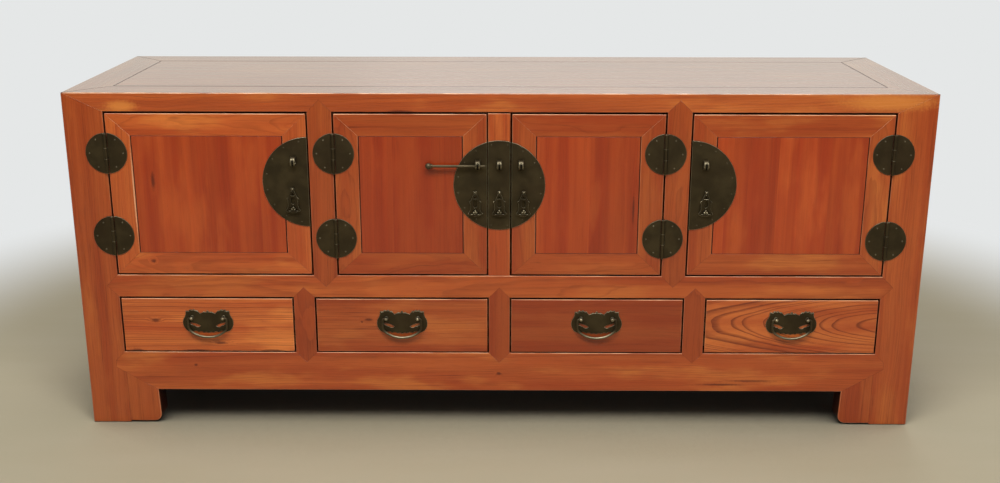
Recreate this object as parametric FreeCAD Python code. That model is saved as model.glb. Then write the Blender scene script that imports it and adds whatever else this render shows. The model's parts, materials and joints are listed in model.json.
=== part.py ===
import FreeCAD, Part
import math
import os

# A low, wide kang cabinet: four doors over four drawers on square legs, with dark brass hardware.
# Millimetres. +X runs to the right along the front, -Y points out of the front, +Z is up.
# The origin lies on the floor under the middle of the carcass.

# Carcass
width = 1600
depth = 475
height = 655
leg_width = 73.5
rail_back_setback = 28.5
top_rail_height = 35
bottom_rail_low = 70
bottom_rail_height = 79
drawer_opening_height = 113
middle_rail_height = 44
door_post_width = 45
drawer_post_width = 40
centre_opening_width = 615

# Joints of the carcass
lap_depth = 16
tenon_setback = 22
tenon_back_cover = 9
rail_tenon_length = 25
post_tenon_length = 18
tenon_shoulder = 8
blunt_point = 18.5
corner_tenon_low_share = 0.35
corner_tenon_high_share = 0.75
corner_tenon_cover = 8

# Foot blocks
foot_width = 59.5
foot_top = 105.5
foot_lift = 3
foot_bulge = 2
foot_corner_radius = 15

# Panels of the carcass
groove_depth = 8
panel_thickness = 10
tongue_setback = 4
tongue_thickness = 5
tongue_float = 1
panel_side_gap = 1.2
panel_end_gap = 0.3
top_panel_thickness = 14
top_panel_batten_width = 32
top_panel_batten_drop = 20
top_panel_batten_count = 3
back_post_width = 40

# Inside of the carcass
floor_thickness = 12
floor_recess = 4
runner_height = 20
runner_margin = 6
guide_height = 26
slide_clearance = 0.3

# Doors
door_gap = 2.1
door_end_gap = 1.8
door_thickness = 24
door_lap_depth = 10
door_stile_width = 45
door_rail_width = 43
door_tenon_setback = 13
door_tenon_thickness = 6
door_tenon_length = 30
door_batten_width = 40
door_batten_drop = 10
door_batten_tenon = 12

# Removable centre post
centre_post_width = 40.8
centre_post_depth = 30
centre_post_shift = -0.4
centre_post_top_gap = 2

# Drawers
drawer_gap = 1.2
drawer_count = 4
drawer_back_space = 10
drawer_front_thickness = 20
drawer_side_thickness = 12
drawer_side_drop = 7
drawer_lap = 12
drawer_bottom_thickness = 6
drawer_bottom_lift = 8
drawer_bottom_groove = 5
tail_count = 3
tail_end_share = 0.12
tail_gap_share = 0.10
tail_splay_share = 0.05

# Hinges: round two-leaf plates with a barrel in front of the gap.
# The upper ones hang below the top rail, the lower ones stand above the middle rail.
hinge_radius = 38.3
hinge_high_fall = 77.5
hinge_low_left_rise = 78
hinge_low_centre_rise = 74
hinge_low_right_rise = 71
hinge_leaf_thickness = 1.6
barrel_radius = 3.3
barrel_setout = 3.5
barrel_edge_gap = 0.5
barrel_inset = 1
knuckle_gap = 0.3
knuckle_share = 0.36
hinge_pin_radius = 1.6
running_clearance = 0.05

# Lock plates, lugs and the lock pin. The plates stand a little above the middle of the door opening.
lock_radius = 85
lock_left_rise = 25.5
lock_centre_rise = 20
lock_right_rise = 20.5
lock_plate_thickness = 1.8
lug_rise = 40
lug_width = 9.5
lug_height = 19
lug_reach = 13.5
lug_shoulder_share = 0.6
lug_nose_share = 0.78
lug_hole_drop = 1.5
lug_inset_centre = 17.5
lug_inset_side = 26
lock_pin_radius = 2.5
lock_pin_clearance = 0.08
lock_pin_tip_overhang = 11
lock_pin_head_radius = 6
lock_pin_head_overhang = 16
lock_pin_point_length = 3
lock_pin_point_share = 0.5
lock_pin_parting = 3

# Drop pulls
drop_pivot_fall = 12
drop_inset_centre = 22.5
drop_inset_side = 29.5
drop_length = 46
drop_half_width = 13.5
drop_thickness = 2.6
drop_pin_radius = 1.1
drop_fork_gap = 0.3
drop_arm_width = 1.5
drop_arm_top = 2.2
drop_arm_overlap = 1.5
eye_width = 2.6
eye_reach = 4.6
eye_radius = 2.6
eye_nose_gap = 0.4

# Drawer handles: bat-shaped plates with hanging bails
handle_half_width = 48.5
handle_half_height = 30
handle_plate_thickness = 1.5
bail_post_spread = 30
bail_post_rise = 15.5
bail_post_radius = 3.1
bail_post_reach = 9
bail_pivot_reach = 5.5
bail_radius = 2.1
bail_post_gap = 0.2
bail_drop = 40.5
bail_bend_radius = 3.6
bail_corner_radius = 16
bail_straight = 12

# Outlines, in shares of half the width and of the height that they follow.
# Corners and the points that each curve passes through take turns; None is a straight stretch.
handle_outline_shares = [
    (0, 0.93), (0.03, 0.88), (0.08, 0.87), (0.20, 0.84), (0.30, 0.76), (0.36, 0.89), (0.46, 0.94),
    (0.50, 0.99), (0.58, 0.97), (0.65, 1.0), (0.70, 0.95), (0.77, 0.91), (0.87, 0.98), (0.88, 0.72),
    (0.96, 0.45), (1.0, 0.08), (0.92, -0.27), (0.80, -0.43), (0.63, -0.46), (0.54, -0.40),
    (0.41, -0.51), (0.31, -0.45), (0.19, -0.54), (0.10, -0.49), (0, -0.57),
]
handle_slot_shares = [
    (0.31, -0.06), (0.46, 0.08), (0.64, 0.16), (0.71, 0.14), (0.70, 0.04), (0.65, 0.03),
    (0.60, -0.04), (0.55, -0.04), (0.49, -0.11), (0.40, -0.14),
]
drop_outline_shares = [
    (0, 0.08), None, (0.23, 0.08), None, (0.60, 0.34), (0.70, 0.365), (0.86, 0.385),
    (0.76, 0.42), (0.70, 0.50), None, (0.69, 0.63), (0.76, 0.77), (1.0, 0.87), (0.94, 0.92),
    (0.78, 0.945), (0.40, 0.98), (0, 1.0),
]
drop_arch_shares = [
    (0, 0.69), (0.34, 0.74), (0.52, 0.84), (0.66, 0.88), (0.62, 0.905), (0.30, 0.90), (0, 0.91),
]
drop_spade_shares = [
    (0, 0.705), (0.16, 0.76), (0.36, 0.83), (0.24, 0.865), (0.09, 0.85), None, (0.09, 0.93),
    None, (0, 0.93),
]
drop_peak_shares = [(0, 0.12), None, (0.29, 0.265), None, (0, 0.265)]
drop_slit_shares = [
    (0, 0.31), None, (0.15, 0.31), (0.25, 0.38), (0.27, 0.46), None, (0.27, 0.55), (0.19, 0.61), (0, 0.63),
]

# Levels and places that follow from the sizes above
bottom_rail_top = bottom_rail_low + bottom_rail_height
middle_rail_low = bottom_rail_top + drawer_opening_height
middle_rail_top = middle_rail_low + middle_rail_height
top_rail_low = height - top_rail_height
front_half = width / 2
side_half = depth / 2
rail_depth = leg_width - rail_back_setback
tenon_thickness = rail_depth - tenon_setback - tenon_back_cover
leg_inner_x = front_half - leg_width
leg_inner_y = side_half - leg_width
door_post_inner = centre_opening_width / 2
door_post_outer = door_post_inner + door_post_width
door_post_x = (door_post_inner + door_post_outer) / 2
drawer_opening_width = (2 * leg_inner_x - (drawer_count - 1) * drawer_post_width) / drawer_count
drawer_pitch = drawer_opening_width + drawer_post_width
drawer_xs = [(i - (drawer_count - 1) / 2) * drawer_pitch for i in range(drawer_count)]
drawer_post_xs = [x + drawer_pitch / 2 for x in drawer_xs[:-1]]
drawer_length = depth - rail_depth - drawer_back_space
door_opening_mid = (middle_rail_top + top_rail_low) / 2
hinge_high_z = top_rail_low - hinge_high_fall
hinge_low_left_z = middle_rail_top + hinge_low_left_rise
hinge_low_centre_z = middle_rail_top + hinge_low_centre_rise
hinge_low_right_z = middle_rail_top + hinge_low_right_rise
lock_left_z = door_opening_mid + lock_left_rise
lock_centre_z = door_opening_mid + lock_centre_rise
lock_right_z = door_opening_mid + lock_right_rise
centre_post_left = centre_post_shift - centre_post_width / 2
centre_post_right = centre_post_shift + centre_post_width / 2
centre_door_edge = centre_post_width / 2 + door_gap
running_radius = hinge_pin_radius + running_clearance

ORIGIN = FreeCAD.Vector(0, 0, 0)
UP = FreeCAD.Vector(0, 0, 1)
RIGHT = FreeCAD.Vector(1, 0, 0)
BACK = FreeCAD.Vector(0, 1, 0)

# The four upright sides of the carcass: turn about Z, distance of the face, length
quarter_turn_angle = 90
FRONT = (0, side_half, width)
RIGHT_SIDE = (quarter_turn_angle, front_half, depth)
REAR = (2 * quarter_turn_angle, side_half, width)
LEFT_SIDE = (-quarter_turn_angle, front_half, depth)

nodes = {}


# Drawing helpers. Pieces are drawn against a face at y = 0 with the wood behind it at +y.

def box(x0, x1, y0, y1, z0, z1):
    """A box from its low and high corners, in any order."""
    low = FreeCAD.Vector(min(x0, x1), min(y0, y1), min(z0, z1))
    return Part.makeBox(abs(x1 - x0), abs(y1 - y0), abs(z1 - z0), low)


def cylinder(start, direction, radius, length):
    """A round bar from a point along a unit direction."""
    return Part.makeCylinder(radius, length, start, direction)


def plate(points, y0, y1):
    """A straight-edged plate with its outline in the XZ plane, from y0 to y1."""
    corners = [FreeCAD.Vector(x, y0, z) for x, z in points]
    face = Part.Face(Part.makePolygon(corners + corners[:1]))
    return face.extrude(FreeCAD.Vector(0, y1 - y0, 0))


def curved_plate(points, y0, y1):
    """A plate whose outline runs from corner to corner through the curve points between them."""
    edges = []
    for i in range(0, len(points), 2):
        x0, z0 = points[i]
        x1, z1 = points[(i + 2) % len(points)]
        start, end = FreeCAD.Vector(x0, y0, z0), FreeCAD.Vector(x1, y0, z1)
        if points[i + 1] is None:
            edges.append(Part.LineSegment(start, end).toShape())
        else:
            x, z = points[i + 1]
            edges.append(Part.Arc(start, FreeCAD.Vector(x, y0, z), end).toShape())
    return Part.Face(Part.Wire(edges)).extrude(FreeCAD.Vector(0, y1 - y0, 0))


def scaled(shares, half_width, length):
    """Outline points from their shares of a half width and a height."""
    return [p if p is None else (p[0] * half_width, p[1] * length) for p in shares]


def both_halves(points):
    """Close a right half, drawn from the middle line down to the middle line, with its mirror image."""
    other = [p if p is None else (-p[0], p[1]) for p in reversed(points)]
    return points + other[1:-1]


def moved(shape, x, y, z):
    """A copy of a shape, shifted."""
    copy = shape.copy()
    copy.translate(FreeCAD.Vector(x, y, z))
    return copy


def mirrored(shape, normal):
    """The mirror image of a shape in a plane through the origin."""
    return shape.mirror(ORIGIN, normal)


def joined(*shapes):
    """One solid from touching or overlapping shapes."""
    return shapes[0].fuse(list(shapes[1:])).removeSplitter().Solids[0]


def fitted(shapes, tools):
    """Shapes with the ends, tongues and tenons of their mates cut into them."""
    return [solid for shape in shapes for solid in shape.cut(tools).Solids]


def on_side(shape, side):
    """Turn a piece from the drawing plane onto one side of the carcass."""
    angle, distance, _ = side
    copy = moved(shape, 0, -distance, 0)
    copy.rotate(ORIGIN, UP, angle)
    return copy


def polyhedron(faces):
    """A solid from the corner lists of its flat faces."""
    made = []
    for corners in faces:
        points = [FreeCAD.Vector(*corner) for corner in corners]
        made.append(Part.Face(Part.makePolygon(points + points[:1])))
    return Part.makeSolid(Part.makeShell(made))


def pointed_bar(along, across, point, tenon_length, upright):
    """A rail or post: a face layer with 45-degree pointed ends over a plain core with a tenon each end."""
    (a0, a1), (c0, c1) = along, across
    reach = min(point, (c1 - c0) / 2)
    tips = [c0 + reach] if c1 - c0 <= 2 * reach else [c0 + reach, c1 - reach]
    outline = [(a0, c0), (a1, c0)] + [(a1 + reach, c) for c in tips]
    outline += [(a1, c1), (a0, c1)] + [(a0 - reach, c) for c in reversed(tips)]
    core = [(a0, c0), (a1, c0), (a1, c1), (a0, c1)]
    t0, t1 = a0 - tenon_length, a1 + tenon_length
    s0, s1 = c0 + tenon_shoulder, c1 - tenon_shoulder
    tenon = [(t0, s0), (t1, s0), (t1, s1), (t0, s1)]
    if upright:
        outline, core, tenon = [[(c, a) for a, c in points] for points in (outline, core, tenon)]
    return joined(
        plate(outline, 0, lap_depth),
        plate(core, 0, rail_depth),
        plate(tenon, tenon_setback, tenon_setback + tenon_thickness),
    )


def flush_panel(x0, x1, z0, z1, thickness):
    """A floating panel, flush with its frame, with a tongue on all four edges."""
    reach = groove_depth - tongue_float
    side, end = panel_side_gap, panel_end_gap
    body = box(x0 + side, x1 - side, 0, thickness, z0 + end, z1 - end)
    tongue = box(
        x0 - reach, x1 + reach, tongue_setback, tongue_setback + tongue_thickness, z0 - reach, z1 + reach
    )
    return joined(body, tongue)


def panel_groove(x0, x1, z0, z1):
    """The space that a panel's tongue takes out of its frame."""
    return box(
        x0 - groove_depth, x1 + groove_depth, tongue_setback, tongue_setback + tongue_thickness,
        z0 - groove_depth, z1 + groove_depth,
    )


# Carcass blanks

def leg_blank():
    """The front left leg: its top is one third of a three-way mitre, with a stub tenon inside it."""
    x0, x1 = -front_half, -leg_inner_x
    y0, y1 = -side_half, -leg_inner_y
    z1, tip = top_rail_low, (x0, y0, height)
    post = polyhedron([
        [(x0, y0, 0), (x0, y1, 0), (x1, y1, 0), (x1, y0, 0)],
        [(x0, y0, 0), (x1, y0, 0), (x1, y0, z1), tip],
        [(x0, y0, 0), tip, (x0, y1, z1), (x0, y1, 0)],
        [(x1, y0, 0), (x1, y1, 0), (x1, y1, z1), (x1, y0, z1)],
        [(x0, y1, 0), (x0, y1, z1), (x1, y1, z1), (x1, y1, 0)],
        [tip, (x1, y0, z1), (x1, y1, z1)],
        [tip, (x1, y1, z1), (x0, y1, z1)],
    ])
    return joined(post, leg_stub_tenon())


def leg_stub_tenon():
    """The hidden tenon on top of the front left leg."""
    low, high = corner_tenon_low_share * leg_width, corner_tenon_high_share * leg_width
    return box(
        low - front_half, high - front_half, low - side_half, high - side_half,
        top_rail_low - corner_tenon_cover, height - corner_tenon_cover,
    )


def four_corners(shape):
    """A front left piece and its mirror images: front left, front right, back left, back right."""
    front_right = mirrored(shape, RIGHT)
    return [shape, front_right, mirrored(shape, BACK), mirrored(front_right, BACK)]


def top_rail_blank(length):
    """A rail of the top frame, with its third of the three-way mitre at each end."""
    x, inner = length / 2, length / 2 - leg_width
    y, z0, z1 = leg_width, top_rail_low, height
    left, right = (-x, 0, z1), (x, 0, z1)
    return polyhedron([
        [left, (-inner, 0, z0), (inner, 0, z0), right],
        [left, right, (inner, y, z1), (-inner, y, z1)],
        [(-inner, y, z0), (-inner, y, z1), (inner, y, z1), (inner, y, z0)],
        [(-inner, 0, z0), (-inner, y, z0), (inner, y, z0), (inner, 0, z0)],
        [left, (-inner, y, z1), (-inner, y, z0)],
        [left, (-inner, y, z0), (-inner, 0, z0)],
        [right, (inner, y, z0), (inner, y, z1)],
        [right, (inner, 0, z0), (inner, y, z0)],
    ])


def rail_blank(side, low, high, point):
    """A middle or bottom rail of one side, between its legs."""
    inner = side[2] / 2 - leg_width
    return on_side(pointed_bar((-inner, inner), (low, high), point, rail_tenon_length, False), side)


def post_blank(side, x, post_width, low, high):
    """A post of one side, with both ends pointed."""
    half = post_width / 2
    return on_side(pointed_bar((low, high), (x - half, x + half), half, post_tenon_length, True), side)


def front_bottom_rail_blank():
    """The bottom rail: pointed into the legs, its lower corners mitred over the foot blocks."""
    x, z0, z1 = leg_inner_x, bottom_rail_low, bottom_rail_top
    foot_x = x - foot_width
    slope = (foot_top - z0) / foot_width
    tip_x = x + blunt_point
    core = [(-foot_x, z0), (foot_x, z0), (x, foot_top), (x, z1), (-x, z1), (-x, foot_top)]
    right = [(foot_x, z0), (tip_x, foot_top + slope * blunt_point), (tip_x, z1 - blunt_point), (x, z1)]
    left = [(-px, pz) for px, pz in reversed(right)]
    tenon = box(
        -x - rail_tenon_length, x + rail_tenon_length, tenon_setback, tenon_setback + tenon_thickness,
        foot_top, z1 - tenon_shoulder,
    )
    return on_side(joined(plate(right + left, 0, lap_depth), plate(core, 0, rail_depth), tenon), FRONT)


def foot_block():
    """The shaped block in the corner of the front right leg and the bottom rail."""
    outer, inner = leg_inner_x, leg_inner_x - foot_width
    low, corner = foot_lift, foot_lift + foot_corner_radius
    bulge_x = inner - foot_bulge
    bend = foot_corner_radius * (1 - math.sqrt(0.5))
    outline = [
        (outer, low), None, (outer, foot_top), None, (inner, bottom_rail_low), None, (bulge_x, corner),
        (bulge_x + bend, low + bend), (bulge_x + foot_corner_radius, low), None,
    ]
    return on_side(curved_plate(outline, 0, rail_depth), FRONT)


# Carcass

def carcass():
    """The frame of legs, rails and posts, and the panels, floor and drawer bearers that it holds."""
    middle, bottom = (middle_rail_low, middle_rail_top), (bottom_rail_low, bottom_rail_top)
    point = middle_rail_height / 2
    front_middle = rail_blank(FRONT, *middle, point)
    front_bottom = front_bottom_rail_blank()
    back_rails = [rail_blank(REAR, *middle, point), rail_blank(REAR, *bottom, blunt_point)]
    side_rails = [
        rail_blank(side, *level, reach)
        for side in (LEFT_SIDE, RIGHT_SIDE)
        for level, reach in ((middle, point), (bottom, blunt_point))
    ]
    door_posts = [
        post_blank(FRONT, x, door_post_width, middle_rail_top, top_rail_low)
        for x in (-door_post_x, door_post_x)
    ]
    drawer_posts = [
        post_blank(FRONT, x, drawer_post_width, bottom_rail_top, middle_rail_low) for x in drawer_post_xs
    ]
    back_posts = [
        post_blank(REAR, x, back_post_width, *levels)
        for x in (-door_post_x, door_post_x)
        for levels in ((middle_rail_top, top_rail_low), (bottom_rail_top, middle_rail_low))
    ]
    top_rails = [on_side(top_rail_blank(side[2]), side) for side in (FRONT, RIGHT_SIDE, REAR, LEFT_SIDE)]
    battens = top_battens()
    side_panels, side_grooves = panels_of_side((LEFT_SIDE, RIGHT_SIDE), [leg_inner_y])
    inner_edge = door_post_x - back_post_width / 2
    outer_edge = door_post_x + back_post_width / 2
    back_panels, back_grooves = panels_of_side((REAR,), [inner_edge, outer_edge, leg_inner_x])
    top_panel, top_groove = top_panel_and_groove()
    runners, guides = drawer_bearers()
    floor = compartment_floor()
    grooves = side_grooves + back_grooves
    stubs = four_corners(leg_stub_tenon())
    rails = [front_middle, front_bottom] + back_rails + side_rails
    legs = fitted(four_corners(leg_blank()), rails + grooves)
    foot = foot_block()

    nodes["front_legs"] = legs[:2]
    nodes["back_legs"] = legs[2:]
    uprights = door_posts + back_posts + battens + stubs
    nodes["top_frame_rails"] = fitted(top_rails, uprights + grooves + [top_groove])
    nodes["top_panel"] = [top_panel]
    nodes["top_battens"] = battens
    nodes["front_middle_rail"] = fitted([front_middle], door_posts + drawer_posts + [floor])
    nodes["front_bottom_rail"] = fitted([front_bottom], drawer_posts + runners)
    nodes["door_posts"] = door_posts
    nodes["drawer_posts"] = drawer_posts
    nodes["foot_blocks"] = [foot, mirrored(foot, RIGHT)]
    nodes["back_rails"] = fitted(back_rails, back_posts + grooves + runners + [floor])
    nodes["back_posts"] = fitted(back_posts, back_grooves)
    nodes["back_panels"] = back_panels
    nodes["side_rails"] = fitted(side_rails, side_grooves + [floor])
    nodes["side_panels"] = side_panels
    nodes["compartment_floor"] = [floor]
    nodes["drawer_runners"] = runners
    nodes["drawer_guides"] = guides


def top_battens():
    """The bars under the top panel, tenoned into the front and back rails of the top frame."""
    high = height - top_panel_thickness
    low = high - top_panel_batten_drop
    shoulder = top_panel_batten_drop / 4
    half = top_panel_batten_width / 2
    made = []
    for i in range(top_panel_batten_count):
        x = leg_inner_x * (2 * (i + 1) / (top_panel_batten_count + 1) - 1)
        bar = box(x - half, x + half, -leg_inner_y, leg_inner_y, low, high)
        reach = leg_inner_y + lap_depth
        tenon = box(x - half / 2, x + half / 2, -reach, reach, low + shoulder, high - shoulder)
        made.append(joined(bar, tenon))
    return made


def panels_of_side(sides, edges):
    """Upper and lower panels of upright sides. Edges run outwards from the middle of the side."""
    bays = [(-edges[0], edges[0])]
    if len(edges) > 1:
        bays += [(edges[1], edges[2]), (-edges[2], -edges[1])]
    made, grooves = [], []
    for side in sides:
        for low, high in ((bottom_rail_top, middle_rail_low), (middle_rail_top, top_rail_low)):
            for x0, x1 in bays:
                made.append(on_side(flush_panel(x0, x1, low, high, panel_thickness), side))
                grooves.append(on_side(panel_groove(x0, x1, low, high), side))
    return made, grooves


def top_panel_and_groove():
    """The panel of the top, drawn upright like the others and laid flat under the top face."""
    made = []
    edges = (-leg_inner_x, leg_inner_x, -leg_inner_y, leg_inner_y)
    for upright in (flush_panel(*edges, top_panel_thickness), panel_groove(*edges)):
        upright.rotate(ORIGIN, RIGHT, -quarter_turn_angle)
        made.append(moved(upright, 0, 0, height))
    return made


def compartment_floor():
    """The boards behind the doors, let into the middle rails and notched round the legs."""
    x, y = front_half - rail_depth + groove_depth, side_half - rail_depth + groove_depth
    high = middle_rail_top - floor_recess
    blank = box(-x, x, -y, y, high - floor_thickness, high)
    leg = box(-front_half, -leg_inner_x, -side_half, -leg_inner_y, 0, top_rail_low)
    return fitted([blank], four_corners(leg))[0]


def drawer_bearers():
    """Runners under the drawers' sides and guides between the drawers, housed in the bottom rails."""
    y = side_half - rail_depth
    reach = y + groove_depth
    low = bottom_rail_top - runner_height
    lip = drawer_gap + drawer_side_thickness + runner_margin
    runners, guides = [], []
    for x in drawer_post_xs:
        half = drawer_post_width / 2
        runners.append(box(x - half - lip, x + half + lip, -reach, reach, low, bottom_rail_top))
        guides.append(box(x - half, x + half, -y, y, bottom_rail_top, bottom_rail_top + guide_height))
    leg = box(-front_half, -leg_inner_x, -side_half, -leg_inner_y, 0, top_rail_low)
    for side in (-1, 1):
        outer, inner = side * (front_half - rail_depth), side * (leg_inner_x - lip)
        blank = box(outer, inner, -y, y, low, bottom_rail_top)
        shelf = box(side * leg_inner_x, inner, -reach, reach, low, bottom_rail_top)
        runners += fitted([joined(blank, shelf)], four_corners(leg))
        guides.append(box(
            outer, side * leg_inner_x, -leg_inner_y, leg_inner_y,
            bottom_rail_top, bottom_rail_top + guide_height,
        ))
    return runners, guides


# Hinges

def hinge_leaf(x, mid_z, side, on_frame):
    """One half of a round hinge plate, with its knuckles. The side is that of the half disc."""
    low, high = mid_z - hinge_radius, mid_z + hinge_radius
    disc = cylinder(
        FreeCAD.Vector(x, -hinge_leaf_thickness, mid_z), BACK, hinge_radius, hinge_leaf_thickness
    )
    edge = x + side * (barrel_radius + barrel_edge_gap)
    foot, head = low + barrel_inset, high - barrel_inset
    end = knuckle_share * (head - foot)
    spans = [(foot, foot + end), (head - end, head)]
    if not on_frame:
        spans = [(foot + end + knuckle_gap, head - end - knuckle_gap)]
    outline = [box(edge, x + side * hinge_radius, -hinge_leaf_thickness, 0, low, high)]
    knuckles = []
    for z0, z1 in spans:
        outline.append(box(x, edge, -hinge_leaf_thickness, 0, z0, z1))
        knuckles.append(cylinder(FreeCAD.Vector(x, -barrel_setout, z0), UP, barrel_radius, z1 - z0))
    leaf = disc.common(joined(*outline)).Solids[0]
    bore = cylinder(FreeCAD.Vector(x, -barrel_setout, low), UP, running_radius, high - low)
    return on_side(joined(leaf, *knuckles).cut(bore).Solids[0], FRONT)


def hinge_pin(x, mid_z):
    """The pin through the knuckles of one hinge."""
    reach = hinge_radius - barrel_inset
    start = FreeCAD.Vector(x, -barrel_setout, mid_z - reach)
    return on_side(cylinder(start, UP, hinge_pin_radius, 2 * reach), FRONT)


# Doors

def door_pieces(x0, x1):
    """The mitred frame and the floating panel of a door between two upright edges."""
    z0, z1 = middle_rail_top + door_end_gap, top_rail_low - door_end_gap
    ix0, ix1 = x0 + door_stile_width, x1 - door_stile_width
    iz0, iz1 = z0 + door_rail_width, z1 - door_rail_width
    mid = (iz0 + iz1) / 2
    batten_y = (panel_thickness, panel_thickness + door_batten_drop)
    batten = joined(
        box(ix0, ix1, *batten_y, mid - door_batten_width / 2, mid + door_batten_width / 2),
        box(
            ix0 - door_batten_tenon, ix1 + door_batten_tenon, *batten_y,
            mid - door_batten_width / 4, mid + door_batten_width / 4,
        ),
    )
    tenon_y = (door_tenon_setback, door_tenon_setback + door_tenon_thickness)
    tenon_x = (ix0 - door_tenon_length, ix1 + door_tenon_length)
    groove = panel_groove(ix0, ix1, iz0, iz1)
    rails, stiles = [], []
    for outer, inner, step in ((z0, iz0, 1), (z1, iz1, -1)):
        face = plate([(x0, outer), (x1, outer), (ix1, inner), (ix0, inner)], 0, door_lap_depth)
        core = box(ix0, ix1, 0, door_thickness, outer, inner)
        tenon = box(*tenon_x, *tenon_y, outer + step * tenon_shoulder, inner - step * tenon_shoulder)
        rails.append(joined(face, core, tenon))
    for outer, inner in ((x0, ix0), (x1, ix1)):
        face = plate([(outer, z0), (inner, iz0), (inner, iz1), (outer, z1)], 0, door_lap_depth)
        core = box(outer, inner, door_lap_depth, door_thickness, z0, z1)
        stiles.append(joined(face, core))
    stiles = fitted(stiles, rails + [groove, batten])
    rails = fitted(rails, [groove])
    panel = flush_panel(ix0, ix1, iz0, iz1, panel_thickness)
    frame = [on_side(piece, FRONT) for piece in stiles + rails]
    return frame, [on_side(panel, FRONT), on_side(batten, FRONT)]


def add_door(name, hinge_edge, free_edge, lock, low_hinge_z, insets):
    """A door from its opening's edge to its free edge, with its hinges, lock fittings and drop pull."""
    step = 1 if free_edge > hinge_edge else -1
    lock_x, lock_z = lock
    lug_inset, drop_inset = insets
    x0, x1 = sorted((hinge_edge + step * door_gap, free_edge))
    axis_x = hinge_edge + step * door_gap / 2
    frame, panel = door_pieces(x0, x1)
    nodes[f"{name}_frame"] = frame
    nodes[f"{name}_panel"] = panel
    nodes[f"{name}_hinge_leaves"] = [
        hinge_leaf(axis_x, z, step, False) for z in (hinge_high_z, low_hinge_z)
    ]
    for z in (hinge_high_z, low_hinge_z):
        nodes["hinge_frame_leaves"].append(hinge_leaf(axis_x, z, -step, True))
        nodes["hinge_pins"].append(hinge_pin(axis_x, z))
    drop_x = free_edge - step * drop_inset
    nodes[f"{name}_lock_fittings"] = lock_fittings(
        lock_x, lock_z, x0, x1, free_edge - step * lug_inset, drop_x
    )
    nodes[f"{name}_drop"] = [drop_pull(drop_x, lock_z)]


# Lock fittings

def lock_fittings(lock_x, lock_z, x0, x1, lug_x, eye_x):
    """The part of a round lock plate between two upright edges, with a lug and the eye of a drop pull."""
    start = FreeCAD.Vector(lock_x, -lock_plate_thickness, lock_z)
    disc = cylinder(start, BACK, lock_radius, lock_plate_thickness)
    region = box(x0, x1, -lock_plate_thickness, 0, lock_z - lock_radius, lock_z + lock_radius)
    pieces = [disc.common(region).Solids[0], lock_lug(lug_x, lock_z + lug_rise)]
    pieces.append(drop_eye(eye_x, lock_z - drop_pivot_fall))
    return [on_side(piece, FRONT) for piece in pieces]


def lock_lug(x, z):
    """A cast ear on the lock plate, bored crosswise for the lock pin."""
    half = lug_height / 2
    face, nose = -lock_plate_thickness, -lock_plate_thickness - lug_reach
    shoulder_y = face - lug_shoulder_share * lug_reach
    shoulder_z = lug_nose_share * half
    left = x - lug_width / 2
    corners = {
        "base_low": FreeCAD.Vector(left, face, z - half),
        "base_high": FreeCAD.Vector(left, face, z + half),
        "low": FreeCAD.Vector(left, shoulder_y, z - shoulder_z),
        "high": FreeCAD.Vector(left, shoulder_y, z + shoulder_z),
    }
    edges = [
        Part.LineSegment(corners["base_low"], corners["low"]).toShape(),
        Part.Arc(corners["low"], FreeCAD.Vector(left, nose, z), corners["high"]).toShape(),
        Part.LineSegment(corners["high"], corners["base_high"]).toShape(),
        Part.LineSegment(corners["base_high"], corners["base_low"]).toShape(),
    ]
    ear = Part.Face(Part.Wire(edges)).extrude(FreeCAD.Vector(lug_width, 0, 0))
    start = FreeCAD.Vector(left, shoulder_y, z - lug_hole_drop)
    bore = cylinder(start, RIGHT, lock_pin_radius + lock_pin_clearance, lug_width)
    return ear.cut(bore).Solids[0]


def lock_pin():
    """The round pin with a ball head, drawn back to the left until its tip clears the centre post."""
    lug_x = centre_door_edge + lug_inset_centre
    length = 2 * lug_x + lock_pin_head_overhang + lock_pin_tip_overhang
    tip = centre_post_left - lock_pin_parting
    head, shoulder = tip - length, tip - lock_pin_point_length
    neck = head + math.sqrt(lock_pin_head_radius ** 2 - lock_pin_radius ** 2)
    profile = [
        FreeCAD.Vector(neck, 0, lock_pin_radius),
        FreeCAD.Vector(shoulder, 0, lock_pin_radius),
        FreeCAD.Vector(tip, 0, lock_pin_point_share * lock_pin_radius),
        FreeCAD.Vector(tip, 0, 0),
        FreeCAD.Vector(head - lock_pin_head_radius, 0, 0),
    ]
    top = FreeCAD.Vector(head, 0, lock_pin_head_radius)
    outline = Part.Wire([Part.makePolygon(profile), Part.Arc(profile[-1], top, profile[0]).toShape()])
    pin = Part.Face(outline).revolve(ORIGIN, RIGHT, 360).Solids[0]
    y = -lock_plate_thickness - lug_shoulder_share * lug_reach
    return on_side(moved(pin, 0, y, lock_centre_z + lug_rise - lug_hole_drop), FRONT)


def drop_eye(x, z):
    """The small tab that a drop pull hangs from, bored crosswise."""
    left = x - eye_width / 2
    pivot_y = -lock_plate_thickness - eye_reach
    nose = cylinder(FreeCAD.Vector(left, pivot_y, z), RIGHT, eye_radius, eye_width)
    tab = box(left, left + eye_width, pivot_y, -lock_plate_thickness, z - eye_radius, z + eye_radius)
    bore = cylinder(FreeCAD.Vector(left, pivot_y, z), RIGHT, drop_pin_radius + running_clearance, eye_width)
    return joined(nose, tab).cut(bore).Solids[0]


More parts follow.
